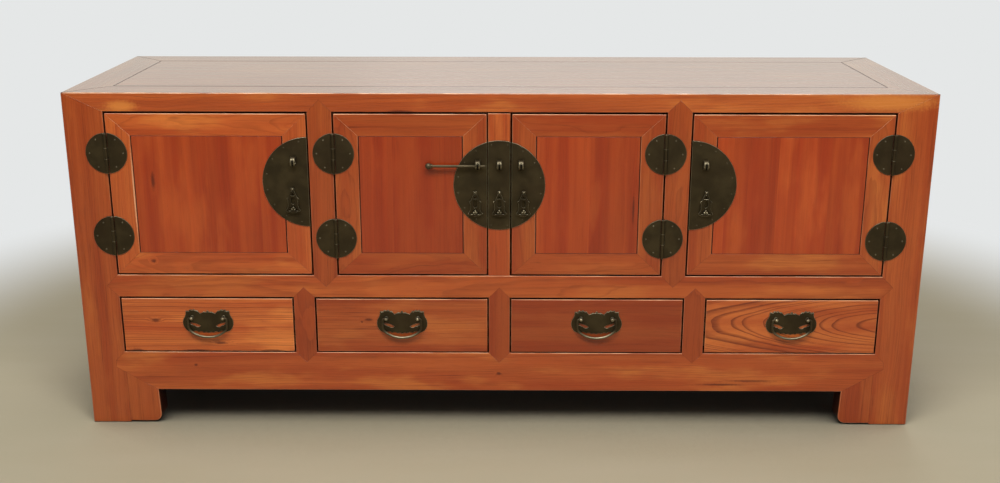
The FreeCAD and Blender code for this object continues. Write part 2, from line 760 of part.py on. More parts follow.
def drop_pull(x, lock_z):
    """An openwork bell-shaped pull, forked over its eye and turning on a cross pin."""
    y0, y1 = -drop_thickness / 2, drop_thickness / 2
    body = curved_plate(both_halves(scaled(drop_outline_shares, drop_half_width, -drop_length)), y0, y1)
    arch = curved_plate(both_halves(scaled(drop_arch_shares, drop_half_width, -drop_length)), y0, y1)
    spade = curved_plate(both_halves(scaled(drop_spade_shares, drop_half_width, -drop_length)), y0, y1)
    peak = curved_plate(both_halves(scaled(drop_peak_shares, drop_half_width, -drop_length)), y0, y1)
    slit = curved_plate(both_halves(scaled(drop_slit_shares, drop_half_width, -drop_length)), y0, y1)
    slot = eye_width / 2 + drop_fork_gap
    nose = eye_radius + eye_nose_gap
    clear = cylinder(FreeCAD.Vector(-slot, 0, 0), RIGHT, nose, 2 * slot)
    pieces = [body.cut([arch.cut(spade), peak, slit, clear])]
    for side in (-1, 1):
        inner, outer = side * slot, side * (slot + drop_arm_width)
        pieces.append(box(inner, outer, y0, y1, -nose - drop_arm_overlap, drop_arm_top))
    span = 2 * (slot + drop_arm_width)
    pieces.append(cylinder(FreeCAD.Vector(-span / 2, 0, 0), RIGHT, drop_pin_radius, span))
    pivot_y = -lock_plate_thickness - eye_reach
    return on_side(moved(joined(*pieces), x, pivot_y, lock_z - drop_pivot_fall), FRONT)


# Removable centre post

def add_centre_post():
    """The post between the middle doors, with its strip of the lock plate, and the lock pin."""
    z0, z1 = middle_rail_top + slide_clearance, top_rail_low - centre_post_top_gap
    post = box(centre_post_left, centre_post_right, 0, centre_post_depth, z0, z1)
    nodes["centre_post"] = [on_side(post, FRONT)]
    nodes["centre_post_lock_fittings"] = lock_fittings(
        0, lock_centre_z, centre_post_left, centre_post_right, 0, 0
    )
    nodes["centre_post_drop"] = [drop_pull(0, lock_centre_z)]
    nodes["lock_pin"] = [lock_pin()]


# Drawers

def drawer_side(x0, x1, z0, z1):
    """One side of a drawer box: dovetails lapped into the front, and dovetails through the back."""
    y0 = drawer_front_thickness - drawer_lap
    tall = z1 - z0
    end, gap, splay = (share * tall for share in (tail_end_share, tail_gap_share, tail_splay_share))
    tail = (tall - 2 * end - (tail_count - 1) * gap) / tail_count
    body = box(
        x0, x1, drawer_front_thickness, drawer_length - drawer_side_thickness, z0, z1
    )
    tails = []
    for i in range(tail_count):
        low = z0 + end + i * (tail + gap)
        for root, tip in (
            (drawer_front_thickness, y0),
            (drawer_length - drawer_side_thickness, drawer_length),
        ):
            corners = [
                FreeCAD.Vector(x0, root, low + splay), FreeCAD.Vector(x0, tip, low),
                FreeCAD.Vector(x0, tip, low + tail), FreeCAD.Vector(x0, root, low + tail - splay),
            ]
            face = Part.Face(Part.makePolygon(corners + corners[:1]))
            tails.append(face.extrude(FreeCAD.Vector(x1 - x0, 0, 0)))
    return joined(body, *tails)


def add_drawer(name, mid_x):
    """A drawer: lapped front, dovetailed box on its runners, and a plate with a hanging bail."""
    half = drawer_opening_width / 2 - drawer_gap
    z0, z1 = bottom_rail_top + drawer_gap, middle_rail_low - drawer_gap
    low, high = bottom_rail_top + slide_clearance, z1 - drawer_side_drop
    x0, x1 = mid_x - half, mid_x + half
    thick = drawer_side_thickness
    front = box(x0, x1, 0, drawer_front_thickness, z0, z1)
    sides = [drawer_side(x0, x0 + thick, low, high), drawer_side(x1 - thick, x1, low, high)]
    bottom_z = low + drawer_bottom_lift
    reach = thick - drawer_bottom_groove
    bottom = box(
        x0 + reach, x1 - reach, drawer_front_thickness - drawer_bottom_groove, drawer_length,
        bottom_z, bottom_z + drawer_bottom_thickness,
    )
    back = box(
        x0, x1, drawer_length - thick, drawer_length, bottom_z + drawer_bottom_thickness, high
    )
    back = fitted([back], sides)
    sides = fitted(sides, [bottom])
    nodes[f"{name}_front"] = [on_side(piece, FRONT) for piece in fitted([front], sides + [bottom])]
    nodes[f"{name}_box"] = [on_side(piece, FRONT) for piece in sides + back + [bottom]]
    mid_z = (bottom_rail_top + middle_rail_low) / 2
    nodes[f"{name}_handle_plate"] = [on_side(moved(handle_plate(), mid_x, 0, mid_z), FRONT)]
    nodes[f"{name}_bail"] = [on_side(moved(bail(), mid_x, 0, mid_z), FRONT)]


def handle_plate():
    """A bat-shaped plate with two slots and two bored posts for the bail."""
    y0 = -handle_plate_thickness
    outline = both_halves(scaled(handle_outline_shares, handle_half_width, handle_half_height))
    slot = curved_plate(scaled(handle_slot_shares, handle_half_width, handle_half_height), y0, 0)
    made = curved_plate(outline, y0, 0).cut([slot, mirrored(slot, RIGHT)])
    posts, bores = [], []
    for side in (-1, 1):
        foot = FreeCAD.Vector(side * bail_post_spread, y0 - bail_post_reach, bail_post_rise)
        posts.append(cylinder(foot, BACK, bail_post_radius, bail_post_reach))
        start = FreeCAD.Vector(
            side * bail_post_spread - bail_post_radius, y0 - bail_pivot_reach, bail_post_rise
        )
        bores.append(cylinder(start, RIGHT, bail_radius + running_clearance, 2 * bail_post_radius))
    return joined(made, *posts).cut(bores).Solids[0]


def bail():
    """The hanging handle: one bent rod whose ends turn inwards through the posts."""
    y = -handle_plate_thickness - bail_pivot_reach
    low = bail_post_rise - bail_drop + bail_radius
    bend, corner = bail_bend_radius, bail_corner_radius
    leg_x = bail_post_spread + bail_post_radius + bail_post_gap + bend
    corner_x = leg_x - corner
    corner_z = bail_post_rise - bend - bail_straight
    fall = corner_z - low
    sweep = (corner_x ** 2 + fall ** 2 - corner ** 2) / (2 * (fall - corner))
    centre_z = low + sweep
    angle = math.atan2(centre_z - corner_z, corner_x)
    half_turn = (math.pi / 2 - angle) / 2
    join = (corner_x + corner * math.cos(angle), corner_z - corner * math.sin(angle))
    through = (corner_x + corner * math.cos(angle / 2), corner_z - corner * math.sin(angle / 2))
    bend_share = math.sqrt(0.5)
    right = [
        (bail_post_spread - bail_post_radius, bail_post_rise), None, (leg_x - bend, bail_post_rise),
        (leg_x - bend + bend * bend_share, bail_post_rise - bend + bend * bend_share),
        (leg_x, bail_post_rise - bend), None, (leg_x, corner_z), through, join,
        (sweep * math.sin(half_turn), centre_z - sweep * math.cos(half_turn)), (0, low),
    ]
    left = [p if p is None else (-p[0], p[1]) for p in reversed(right)]
    points = right + left[1:]
    edges = []
    for i in range(0, len(points) - 2, 2):
        start, via, end = (p if p is None else FreeCAD.Vector(p[0], y, p[1]) for p in points[i:i + 3])
        curve = Part.LineSegment(start, end) if via is None else Part.Arc(start, via, end)
        edges.append(curve.toShape())
    profile = Part.Wire(Part.makeCircle(bail_radius, edges[0].Vertexes[0].Point, RIGHT))
    return Part.Wire(edges).makePipeShell([profile], True, False).Solids[0]


# The whole cabinet

def main():
    carcass()
    nodes["hinge_frame_leaves"] = []
    nodes["hinge_pins"] = []
    side_edge = door_post_outer + door_gap
    side_insets, centre_insets = (lug_inset_side, drop_inset_side), (lug_inset_centre, drop_inset_centre)
    centre_lock = (0, lock_centre_z)
    left_lock, right_lock = (-side_edge, lock_left_z), (side_edge, lock_right_z)
    for name, hinge_edge, free_edge, lock, low_hinge_z, insets in (
        ("left", -leg_inner_x, -side_edge, left_lock, hinge_low_left_z, side_insets),
        ("centre_left", -door_post_inner, -centre_door_edge, centre_lock, hinge_low_centre_z, centre_insets),
        ("centre_right", door_post_inner, centre_door_edge, centre_lock, hinge_low_centre_z, centre_insets),
        ("right", leg_inner_x, side_edge, right_lock, hinge_low_right_z, side_insets),
    ):
        add_door(f"door_{name}", hinge_edge, free_edge, lock, low_hinge_z, insets)
    add_centre_post()
    for number, mid_x in enumerate(drawer_xs, start=1):
        add_drawer(f"drawer_{number}", mid_x)
    os.makedirs("parts", exist_ok=True)
    for name, solids in nodes.items():
        shape = solids[0] if len(solids) == 1 else Part.makeCompound(solids)
        shape.exportStep(f"parts/{name}.step")


main()
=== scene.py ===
import json
import math
import random

import bmesh
import bpy
from mathutils import Matrix, Vector
from mathutils.bvhtree import BVHTree

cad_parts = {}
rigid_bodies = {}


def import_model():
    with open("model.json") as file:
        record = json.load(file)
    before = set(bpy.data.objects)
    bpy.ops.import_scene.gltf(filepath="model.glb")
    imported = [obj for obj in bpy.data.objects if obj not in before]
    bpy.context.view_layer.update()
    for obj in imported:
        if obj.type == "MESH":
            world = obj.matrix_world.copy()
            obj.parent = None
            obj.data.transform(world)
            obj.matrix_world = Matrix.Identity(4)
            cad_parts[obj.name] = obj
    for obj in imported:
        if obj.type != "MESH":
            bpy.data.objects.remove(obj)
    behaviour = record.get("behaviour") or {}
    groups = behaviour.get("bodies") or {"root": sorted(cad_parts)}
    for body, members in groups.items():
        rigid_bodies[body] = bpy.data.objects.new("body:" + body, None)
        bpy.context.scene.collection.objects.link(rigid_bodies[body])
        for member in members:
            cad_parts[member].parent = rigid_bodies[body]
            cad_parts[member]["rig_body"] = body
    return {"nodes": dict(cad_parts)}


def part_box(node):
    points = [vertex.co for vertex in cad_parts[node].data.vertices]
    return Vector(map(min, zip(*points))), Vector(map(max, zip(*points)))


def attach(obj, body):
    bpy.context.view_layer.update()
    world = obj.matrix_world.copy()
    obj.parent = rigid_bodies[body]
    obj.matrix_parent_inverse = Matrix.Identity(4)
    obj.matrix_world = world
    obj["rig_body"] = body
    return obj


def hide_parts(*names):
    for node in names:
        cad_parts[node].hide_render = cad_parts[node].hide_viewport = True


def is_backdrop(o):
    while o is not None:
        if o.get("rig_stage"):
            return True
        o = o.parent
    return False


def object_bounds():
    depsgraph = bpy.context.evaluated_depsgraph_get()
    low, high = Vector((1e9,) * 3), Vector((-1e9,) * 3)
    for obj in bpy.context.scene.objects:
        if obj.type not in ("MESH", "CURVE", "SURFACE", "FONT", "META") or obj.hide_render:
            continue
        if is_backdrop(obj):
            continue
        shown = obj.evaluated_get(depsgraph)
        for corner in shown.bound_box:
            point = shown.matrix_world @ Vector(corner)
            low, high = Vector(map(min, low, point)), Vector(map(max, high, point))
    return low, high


# A low kang cabinet: varnished timber with dark brass hardware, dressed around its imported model.
# Metres, in the frame of the model: +X to the right, -Y out of the front, +Z up.

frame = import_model()
cad_low, cad_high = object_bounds()
MM = 0.001
X, Y, Z = 0, 1, 2
OUTWARD = Vector((0, -1, 0))
front_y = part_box("front_legs")[0].y


def add_object(name, data):
    made = bpy.data.objects.new(name, data)
    bpy.context.scene.collection.objects.link(made)
    return made


# Node trees

# The share of the light that reaches an open face, and a deep crevice
OPEN_LIGHT, DEEP_LIGHT = 0.75, 0.15


def srgb(red, green, blue):
    """A linear colour from its usual 0 to 255 values."""
    linear = []
    for value in (red, green, blue):
        c = value / 255
        linear.append(c / 12.92 if c <= 0.04045 else ((c + 0.055) / 1.055) ** 2.4)
    return (*linear, 1.0)


class Nodes:
    """Short calls for building a node tree."""

    def __init__(self, owner):
        owner.use_nodes = True
        self.tree = owner.node_tree
        self.tree.nodes.clear()

    def node(self, kind, inputs=None, **settings):
        made = self.tree.nodes.new(kind)
        for key, value in settings.items():
            setattr(made, key, value)
        for key, value in (inputs or {}).items():
            self.feed(made.inputs[key], value)
        return made

    def feed(self, socket, value):
        if isinstance(value, bpy.types.NodeSocket):
            self.tree.links.new(value, socket)
        else:
            socket.default_value = value

    def math(self, operation, *values):
        return self.node("ShaderNodeMath", dict(enumerate(values)), operation=operation).outputs[0]

    def vector(self, operation, *values):
        made = self.node("ShaderNodeVectorMath", dict(enumerate(values)), operation=operation)
        return made.outputs["Value" if operation == "LENGTH" else "Vector"]

    def scaled(self, vector, scale):
        made = self.node("ShaderNodeVectorMath", {0: vector, "Scale": scale}, operation="SCALE")
        return made.outputs["Vector"]

    def attribute(self, name):
        return self.node("ShaderNodeAttribute", attribute_name=name).outputs["Vector"]

    def split(self, vector):
        return tuple(self.node("ShaderNodeSeparateXYZ", {0: vector}).outputs)

    def noise(self, vector, stretch, detail, roughness, output=0):
        """Noise of about one blob per unit of the stretched point."""
        point = self.vector("MULTIPLY", vector, stretch)
        made = self.node(
            "ShaderNodeTexNoise",
            {"Vector": point, "Scale": 1.0, "Detail": detail, "Roughness": roughness},
        )
        return made.outputs[output]

    def ramp(self, value, low, high, to_low=0.0, to_high=1.0):
        """A smooth step from low to high."""
        made = self.node(
            "ShaderNodeMapRange",
            {"Value": value, "From Min": low, "From Max": high, "To Min": to_low, "To Max": to_high},
            interpolation_type="SMOOTHSTEP",
        )
        return made.outputs[0]

    def mix(self, share, first, second, blend="MIX"):
        inputs = {0: share, 6: first, 7: second}
        return self.node("ShaderNodeMix", inputs, data_type="RGBA", blend_type=blend).outputs[2]

    def around_one(self, value, amount):
        """A 0 to 1 value as a factor that swings round 1."""
        return self.plus(1.0, self.math("SUBTRACT", value, 0.5), amount)

    def product(self, total, *values):
        for value in values:
            total = self.math("MULTIPLY", total, value)
        return total

    def plus(self, total, value, factor):
        """The total and the value times the factor."""
        return self.math("MULTIPLY_ADD", value, factor, total)

    def most(self, largest, *values):
        for value in values:
            largest = self.math("MAXIMUM", largest, value)
        return largest

    def place(self, space="Object"):
        return self.node("ShaderNodeTexCoord").outputs[space]

    def ray(self, kind):
        return self.node("ShaderNodeLightPath").outputs[f"Is {kind} Ray"]

    def crevice(self, reach):
        """1 deep in a gap or corner narrower than the reach, 0 on open faces: the mask for painted shade.
        """
        made = self.node("ShaderNodeAmbientOcclusion", {"Distance": reach}, samples=6)
        return self.ramp(made.outputs["AO"], OPEN_LIGHT, DEEP_LIGHT)

    def white_noise(self, number):
        """A value of its own for each whole number."""
        return self.node("ShaderNodeTexWhiteNoise", {"W": number}, noise_dimensions="1D").outputs[0]

    def output(self, shader, kind="ShaderNodeOutputMaterial"):
        made = self.node(kind)
        self.tree.links.new(shader.outputs[0], made.inputs["Surface"])


# Wood

# Places of the knots and scars on the front, and their half sizes across and up, in millimetres
MARKS = [
    ((-644, 490), (4, 19)), ((-655, 334), (5, 4)), ((-661, 214), (9, 4)), ((-590, 122), (4, 3)),
    ((-538, 168), (14, 3)), ((250, 436), (2.4, 32)), ((432, 84), (46, 2.5)), ((490, 92), (54, 2.0)),
    ((-702, 153), (16, 2.8)), ((-586, 153), (30, 2.2)), ((-440, 153), (22, 2.0)), ((-1, 106), (5, 4)),
    ((-251, 217), (9, 3)), ((-264, 212), (3, 2.4)), ((-182, 622), (26, 2.2)),
]
# Pale sapwood patches on the top rail
PALE_MARKS = [((-692, 630), (32, 12)), ((708, 640), (100, 18))]
# A painted highlight runs down the left door where its left stile meets the panel, so many millimetres in
HIGHLIGHT_INSET, HIGHLIGHT_HALF_SIZE = 43.6, (1.7, 98)
low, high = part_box("door_left_frame")
PAINTED_HIGHLIGHT_MARKS = [((low.x / MM + HIGHLIGHT_INSET, (low.z + high.z) / 2 / MM), HIGHLIGHT_HALF_SIZE)]

# In half sizes of a mark: the reach of its colour and of the rings' bend, and its core
MARK_REACH, KNOT_REACH, MARK_CORE = 1.25, 2.6, 0.3
# How fast a mark ends behind the front, per metre
MARK_FADE = 60

# Noise in the wood: blobs per millimetre along, across and through a board, detail, roughness
WANDER = ((0.0032, 0.011, 0.011), 2, 0.5)
RIPPLE = ((0.013, 0.045, 0.045), 2, 0.5)
NOISES = {
    "bands": ((0.0011, 0.034, 0.034), 2, 0.5),
    "clouds": ((0.0052, 0.017, 0.017), 3, 0.55),
    "streaks": ((0.0045, 0.17, 0.17), 5, 0.62),
    "fibres": ((0.03, 1.9, 1.9), 3, 0.6),
    "flecks": ((0.016, 0.42, 0.42), 3, 0.6),
    "pores": ((0.16, 3.6, 3.6), 1, 0.5),
    "chips": ((0.06, 0.3, 0.3), 3, 0.65),
    "patches": ((0.012, 0.03, 0.03), 3, 0.6),
    "swells": ((0.006, 0.02, 0.02), 1, 0.4),
}
# The same for the ragged outline of the marks, per metre
RAGGED, RAGGEDNESS = ((260, 260, 260), 3, 0.6), 0.9

# How far the rings wander, ripple and bulge round a knot, in millimetres, and how uneven they are
SLOW_WANDER, QUICK_WANDER, KNOT_BULGE = 26.0, 5.0, 5.0
UNEVEN_SCALE, UNEVEN_RINGS = 0.07, 5.0
# How far a board's seed, or a plank's number, moves its noise, in millimetres
SEED_STEP, PLANK_STEP = (173.0, 61.0, 97.0), (71.0, 0.0, 43.0)

# The most that each layer changes the colour
BAND_SHARE, GOLD_SHARE, RED_SHARE, STREAK_SHARE, FLECK_SHARE = 0.75, 0.55, 0.8, 0.42, 0.24
MARK_SHARE, CHIP_SHARE, CREVICE_SHARE, PAINTED_HIGHLIGHT_SHARE = 0.75, 0.85, 0.97, 0.7
# How far each layer swings the brightness round 1
SWINGS = {"streaks": 0.24, "fibres": 0.20, "ring_tone": 0.10, "plank_tone": 0.14}
CLOUD_SWING, PORE_SHADE = 0.5, 0.30
# How far each layer stands out of the surface, in millimetres
HEIGHTS = {"pores": -0.03, "late": 0.010, "fibres": 0.005, "chips": -0.3, "swells": 0.5}

# The first colour is the soil of seams and chips and also the painted shade in gaps and corners; the last
# is edge wear and painted highlight.
SOIL_AND_SHADE, KNOT, WORN_AND_HIGHLIT_WOOD = srgb(46, 5, 2), srgb(74, 20, 8), srgb(232, 172, 128)
TIMBER_GAP = 10 * MM
STREAK_ROUGHNESS, SOIL_ROUGHNESS = 0.14, 0.4


def mark_mask(n, marks, reach=MARK_REACH):
    """Where some marks of the front are: 0 outside them, 1 in their middles."""
    place = n.place()
    ragged = n.around_one(n.noise(place, *RAGGED), RAGGEDNESS)
    spots = []
    for (x, z), (half_width, half_height) in marks:
        away = n.vector("SUBTRACT", place, (x * MM, front_y, z * MM))
        away = n.vector("MULTIPLY", away, (1 / MM / half_width, MARK_FADE, 1 / MM / half_height))
        spots.append(n.ramp(n.product(n.vector("LENGTH", away), ragged), reach, MARK_CORE))
    return n.most(*spots)


def growth_rings(n, point, spread, log, width, wavering):
    """How far a point is through its growth ring, and the number of that ring."""
    wander = n.split(n.noise(spread, *WANDER, output=1))
    ripple = n.split(n.noise(spread, *RIPPLE, output=1))
    squares = []
    for across, pith, slow, quick in zip(n.split(point)[1:], n.split(log), wander, ripple):
        away = n.plus(across, pith, -1 / MM)
        for wave, size in ((slow, SLOW_WANDER), (quick, QUICK_WANDER)):
            away = n.math("ADD", away, n.product(n.math("SUBTRACT", wave, 0.5), wavering, size))
        squares.append(n.product(away, away))
    radius = n.math("SQRT", n.math("ADD", *squares))
    radius = n.plus(radius, mark_mask(n, MARKS, KNOT_REACH), KNOT_BULGE)
    noise = {"W": radius, "Scale": UNEVEN_SCALE}
    uneven = n.node("ShaderNodeTexNoise", noise, noise_dimensions="1D").outputs[0]
    rings = n.plus(n.math("DIVIDE", radius, width), uneven, UNEVEN_RINGS)
    return n.math("FRACT", rings), n.math("FLOOR", rings)


class Grain:
    """The layers that a board's colour and relief are mixed from.

    paint_grain writes the attributes: grain is the point in the board, x along the grain; log is
    the pith's place beside it and a seed; finish is its brightness, which carries painted shade on
    the top and the feet, its redness and mottling; rings are its ring width in millimetres, ring
    contrast and streaks; planks are the width of the planks it is glued from and how far its rings
    waver. The edge is mark_edges': wear and painted highlight on free edges, soil in seams, chips."""

    def __init__(self, n):
        point = n.scaled(n.attribute("grain"), 1 / MM)
        log = n.attribute("log")
        self.bright, self.redness, self.mottling = n.split(n.attribute("finish"))
        ring_width, self.ring_contrast, self.streaking = n.split(n.attribute("rings"))
        plank_width, wavering, _ = n.split(n.attribute("planks"))
        spread = n.vector("ADD", point, n.scaled(SEED_STEP, n.split(log)[2]))
        phase, ring = growth_rings(n, point, spread, log, ring_width, wavering)
        self.late = n.product(n.ramp(phase, 0.52, 0.93), n.ramp(phase, 1.0, 0.94))
        self.ring_tone = n.white_noise(ring)
        plank = n.math("FLOOR", n.math("DIVIDE", n.split(spread)[1], plank_width))
        self.plank_tone = n.white_noise(plank)
        spread = n.vector("ADD", spread, n.scaled(PLANK_STEP, plank))
        for name, settings in NOISES.items():
            setattr(self, name, n.noise(spread, *settings))
        self.flecks = n.ramp(self.flecks, 0.53, 0.70)
        self.pores = n.product(n.ramp(self.pores, 0.62, 0.72), n.ramp(phase, 0.5, 0.1))
        self.arris, self.seam, chipped = n.split(n.attribute("edge"))
        self.chips = n.product(chipped, n.ramp(self.chips, 0.50, 0.56))


def sound_wood(n, grain, light, dark, red, gold):
    """The colour of a board before its marks, soil and wear."""
    colour = n.mix(n.ramp(grain.bands, 0.32, 0.68, 0.0, BAND_SHARE), light, red)
    golden = n.product(n.ramp(grain.clouds, 0.50, 0.68), grain.mottling, GOLD_SHARE)
    colour = n.mix(golden, colour, gold)
    colour = n.mix(n.product(grain.redness, RED_SHARE), colour, red)
    dark_share = n.product(n.ramp(grain.streaks, 0.47, 0.80), grain.streaking, STREAK_SHARE)
    dark_share = n.plus(dark_share, grain.late, grain.ring_contrast)
    flecks = n.product(grain.flecks, grain.streaking)
    colour = n.mix(n.plus(dark_share, flecks, FLECK_SHARE), colour, dark)
    cloudy = n.product(n.math("SUBTRACT", grain.clouds, 0.5), grain.mottling)
    swings = [n.around_one(getattr(grain, layer), swing) for layer, swing in SWINGS.items()]
    swings += [n.plus(1.0, cloudy, CLOUD_SWING), n.plus(1.0, grain.pores, -PORE_SHADE)]
    factor = n.product(*swings, grain.bright)
    grey = n.node("ShaderNodeCombineColor", {0: factor, 1: factor, 2: factor}).outputs[0]
    return n.mix(1.0, colour, grey, "MULTIPLY")


def soil_shade_and_wear(n, grain, colour, gold):
    """A board's colour with its marks, soil, painted shade in gaps and corners, edge wear and painted
    highlights, and the mask of its soil and painted shade.
    """
    colour = n.mix(n.product(mark_mask(n, PALE_MARKS), MARK_SHARE), colour, gold)
    # Painted shade: darker where ambient occlusion finds a gap or corner between parts, mixed with the
    # soil of seams and chips.
    painted_crevice_shade = n.product(n.crevice(TIMBER_GAP), CREVICE_SHARE)
    soil_and_shade = n.most(grain.seam, n.product(grain.chips, CHIP_SHARE), painted_crevice_shade)
    colour = n.mix(soil_and_shade, colour, SOIL_AND_SHADE)
    colour = n.mix(n.product(mark_mask(n, MARKS), MARK_SHARE), colour, KNOT)
    # Edge wear and painted highlight: free edges are lightened, upward-facing ones most, and so is the
    # left door's highlight line.
    wear_and_highlight = n.product(grain.arris, n.ramp(grain.patches, 0.35, 0.65, 0.15, 0.8))
    wear_and_highlight = n.most(wear_and_highlight, n.product(mark_mask(n, PAINTED_HIGHLIGHT_MARKS), PAINTED_HIGHLIGHT_SHARE))
    return n.mix(wear_and_highlight, colour, WORN_AND_HIGHLIT_WOOD), soil_and_shade


def wood(name, light, dark, red, gold, coat, rough, bumps=0.8):
    """Varnished timber sawn from a log, with rings about a wandering pith, marks, soil and wear, painted
    shade in gaps and painted highlights on edges.
    """
    light, dark, red, gold = (srgb(*colour) for colour in (light, dark, red, gold))
    material = bpy.data.materials.new(name)
    n = Nodes(material)
    grain = Grain(n)
    colour, soil_and_shade = soil_shade_and_wear(n, grain, sound_wood(n, grain, light, dark, red, gold), gold)
    height = 0.0
    for layer, size in HEIGHTS.items():
        height = n.plus(height, getattr(grain, layer), size)
    bump = n.node("ShaderNodeBump", {"Strength": bumps, "Distance": MM, "Height": height})
    roughness = n.plus(n.plus(rough, grain.streaks, STREAK_ROUGHNESS), soil_and_shade, SOIL_ROUGHNESS)
    shader = n.node("ShaderNodeBsdfPrincipled", {
        "Base Color": colour, "Roughness": roughness, "Normal": bump.outputs[0], "IOR": 1.5,
        "Specular IOR Level": 0.25, "Coat Weight": coat, "Coat Roughness": 0.13,
    })
    n.output(shader)
    return material


FRAME_WOOD = wood(
    "frame_wood", (190, 94, 40), (104, 36, 12), (158, 57, 20), (212, 130, 58), 0.6, 0.31)
TOP_WOOD = wood(
    "top_wood", (190, 98, 44), (104, 38, 14), (160, 66, 28), (212, 130, 58), 1.0, 0.21, bumps=0.3)
PANEL_WOOD = wood(
    "panel_wood", (176, 72, 26), (96, 28, 9), (147, 42, 12), (188, 90, 36), 0.6, 0.31)
DRAWER_WOOD = wood(
    "drawer_wood", (194, 102, 46), (104, 36, 12), (154, 53, 17), (212, 128, 60), 0.6, 0.31)
INNER_WOOD = wood(
    "inner_wood", (206, 166, 118), (150, 104, 62), (190, 142, 96), (214, 178, 128), 0.0, 0.57)


# Metal

# Layers of noise in the brass: blobs per metre, detail and roughness
BLOTCHES = ((34, 34, 34), 3, 0.5)
STAINS = ((9, 9, 14), 2, 0.5)
GRIT = ((700, 700, 260), 3, 0.7)
PATINA_DARK, PATINA_LIGHT = srgb(61, 52, 34), srgb(77, 66, 44)
STAIN, SPECK = srgb(64, 50, 33), srgb(92, 82, 60)
# The first colour lightens wear and painted highlights; the second darkens soot and painted shade.
BARE_BRASS_AND_HIGHLIGHT, SOOT_AND_SHADE = srgb(174, 163, 134), srgb(12, 9, 6)
BRASS_GAP, SOOT_AND_SHADE_SHARE, CREVICE_SHADE_SHARE = 4 * MM, 0.9, 0.85


def brass(name):
    """Old brass under a dark patina, lightened where hands and edges wear it and by painted highlights on
    rims, knobs and nail heads, and darkened by soot and by painted shade in crevices and grooves.
    """
    material = bpy.data.materials.new(name)
    n = Nodes(material)
    place = n.place()
    blotch = n.noise(place, *BLOTCHES)
    grit = n.noise(place, *GRIT)
    colour = n.mix(n.ramp(blotch, 0.30, 0.72), PATINA_DARK, PATINA_LIGHT)
    colour = n.mix(n.ramp(n.noise(place, *STAINS), 0.42, 0.75, 0.0, 0.5), colour, STAIN)
    colour = n.mix(n.ramp(grit, 0.60, 0.75, 0.0, 0.25), colour, SPECK)
    # The attribute's first value lightens, as wear and painted highlight; its second darkens, as soot and
    # painted shade.
    rub_and_highlight, soot_and_shade, _ = n.split(n.attribute("edge"))
    bare_and_highlight = n.product(rub_and_highlight, n.ramp(blotch, 0.30, 0.62, 0.55, 1.0))
    colour = n.mix(bare_and_highlight, colour, BARE_BRASS_AND_HIGHLIGHT)
    # Painted shade: the soot share holds the lock ears' groove shade, and ambient occlusion darkens where
    # parts close round, as behind the drop pulls.
    dark = n.most(n.product(soot_and_shade, SOOT_AND_SHADE_SHARE), n.product(n.crevice(BRASS_GAP), CREVICE_SHADE_SHARE))
    colour = n.mix(dark, colour, SOOT_AND_SHADE)
    roughness = n.plus(n.ramp(grit, 0.2, 0.8, 0.44, 0.58), bare_and_highlight, -0.27)
    height = n.plus(n.product(blotch, 0.2), grit, 0.03)
    bump = n.node("ShaderNodeBump", {"Strength": 0.6, "Distance": MM, "Height": height})
    shader = n.node("ShaderNodeBsdfPrincipled", {
        "Base Color": colour, "Roughness": roughness, "Metallic": 0.85, "Normal": bump.outputs[0],
    })
    n.output(shader)
    return material


BRASS = brass("aged_brass")


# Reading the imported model

def solids_of(node):
    """The closed solids of a CAD node: each a list of triangles, each three corner points."""
    mesh = frame["nodes"][node].data
    points = [tuple(v.co) for v in mesh.vertices]
    solids, current, open_edges = [], [], {}
    for polygon in mesh.polygons:
        corners = [points[i] for i in polygon.vertices]
        current.append(corners)
        for a, b in zip(corners, corners[1:] + corners[:1]):
            if open_edges.get((b, a)):
                open_edges[b, a] -= 1
                if not open_edges[b, a]:
                    del open_edges[b, a]
            else:
                open_edges[a, b] = open_edges.get((a, b), 0) + 1
        if not open_edges:
            solids.append(current)
            current = []
    if current:
        solids.append(current)
    return solids


def extent(triangles):
    """The low and high corners of a solid."""
    points = [point for corners in triangles for point in corners]
    return Vector(map(min, zip(*points))), Vector(map(max, zip(*points)))


TINY, FLAT_ANGLE = 0.002 * MM, math.radians(0.5)


def clean_solid(triangles):
    """A bmesh of one solid, with its flat faces whole again."""
    bm = bmesh.new()
    verts = {}
    for corners in triangles:
        face = []
        for point in corners:
            if point not in verts:
                verts[point] = bm.verts.new(point)
            face.append(verts[point])
        if len(set(face)) == len(face) and not bm.faces.get(face):
            bm.faces.new(face)
    bmesh.ops.dissolve_degenerate(bm, dist=TINY, edges=bm.edges)
    bmesh.ops.dissolve_limit(bm, angle_limit=FLAT_ANGLE, verts=bm.verts, edges=bm.edges)
    bm.normal_update()
    bm.verts.index_update()
    return bm


def dress(piece, node):
    """Let a piece stand for a CAD node and move with its body."""
    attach(piece, frame["nodes"][node]["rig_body"])
    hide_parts(node)


def rounded(piece, material, method, width, segments, angle=0.0):
    """Round a piece's edges, with the new faces marked by material index 1."""
    for _ in range(2):
        piece.data.materials.append(material)
    rounding = piece.modifiers.new("rounding", "BEVEL")
    rounding.limit_method = method
    rounding.angle_limit = angle
    rounding.width = width
    rounding.segments = segments
    rounding.use_clamp_overlap = False
    rounding.harden_normals = True
    rounding.material = 1
    graph = bpy.context.evaluated_depsgraph_get()
    made = bpy.data.meshes.new_from_object(piece.evaluated_get(graph))
    piece.modifiers.clear()
    piece.data = made


def keep_one_material(mesh):
    """Take away the marks that rounded leaves."""
    for polygon in mesh.polygons:
        polygon.material_index = 0
    while len(mesh.materials) > 1:
        mesh.materials.pop()


# Timber pieces

BRASS_WORDS = ("hinge", "lock_", "drop", "handle", "bail")


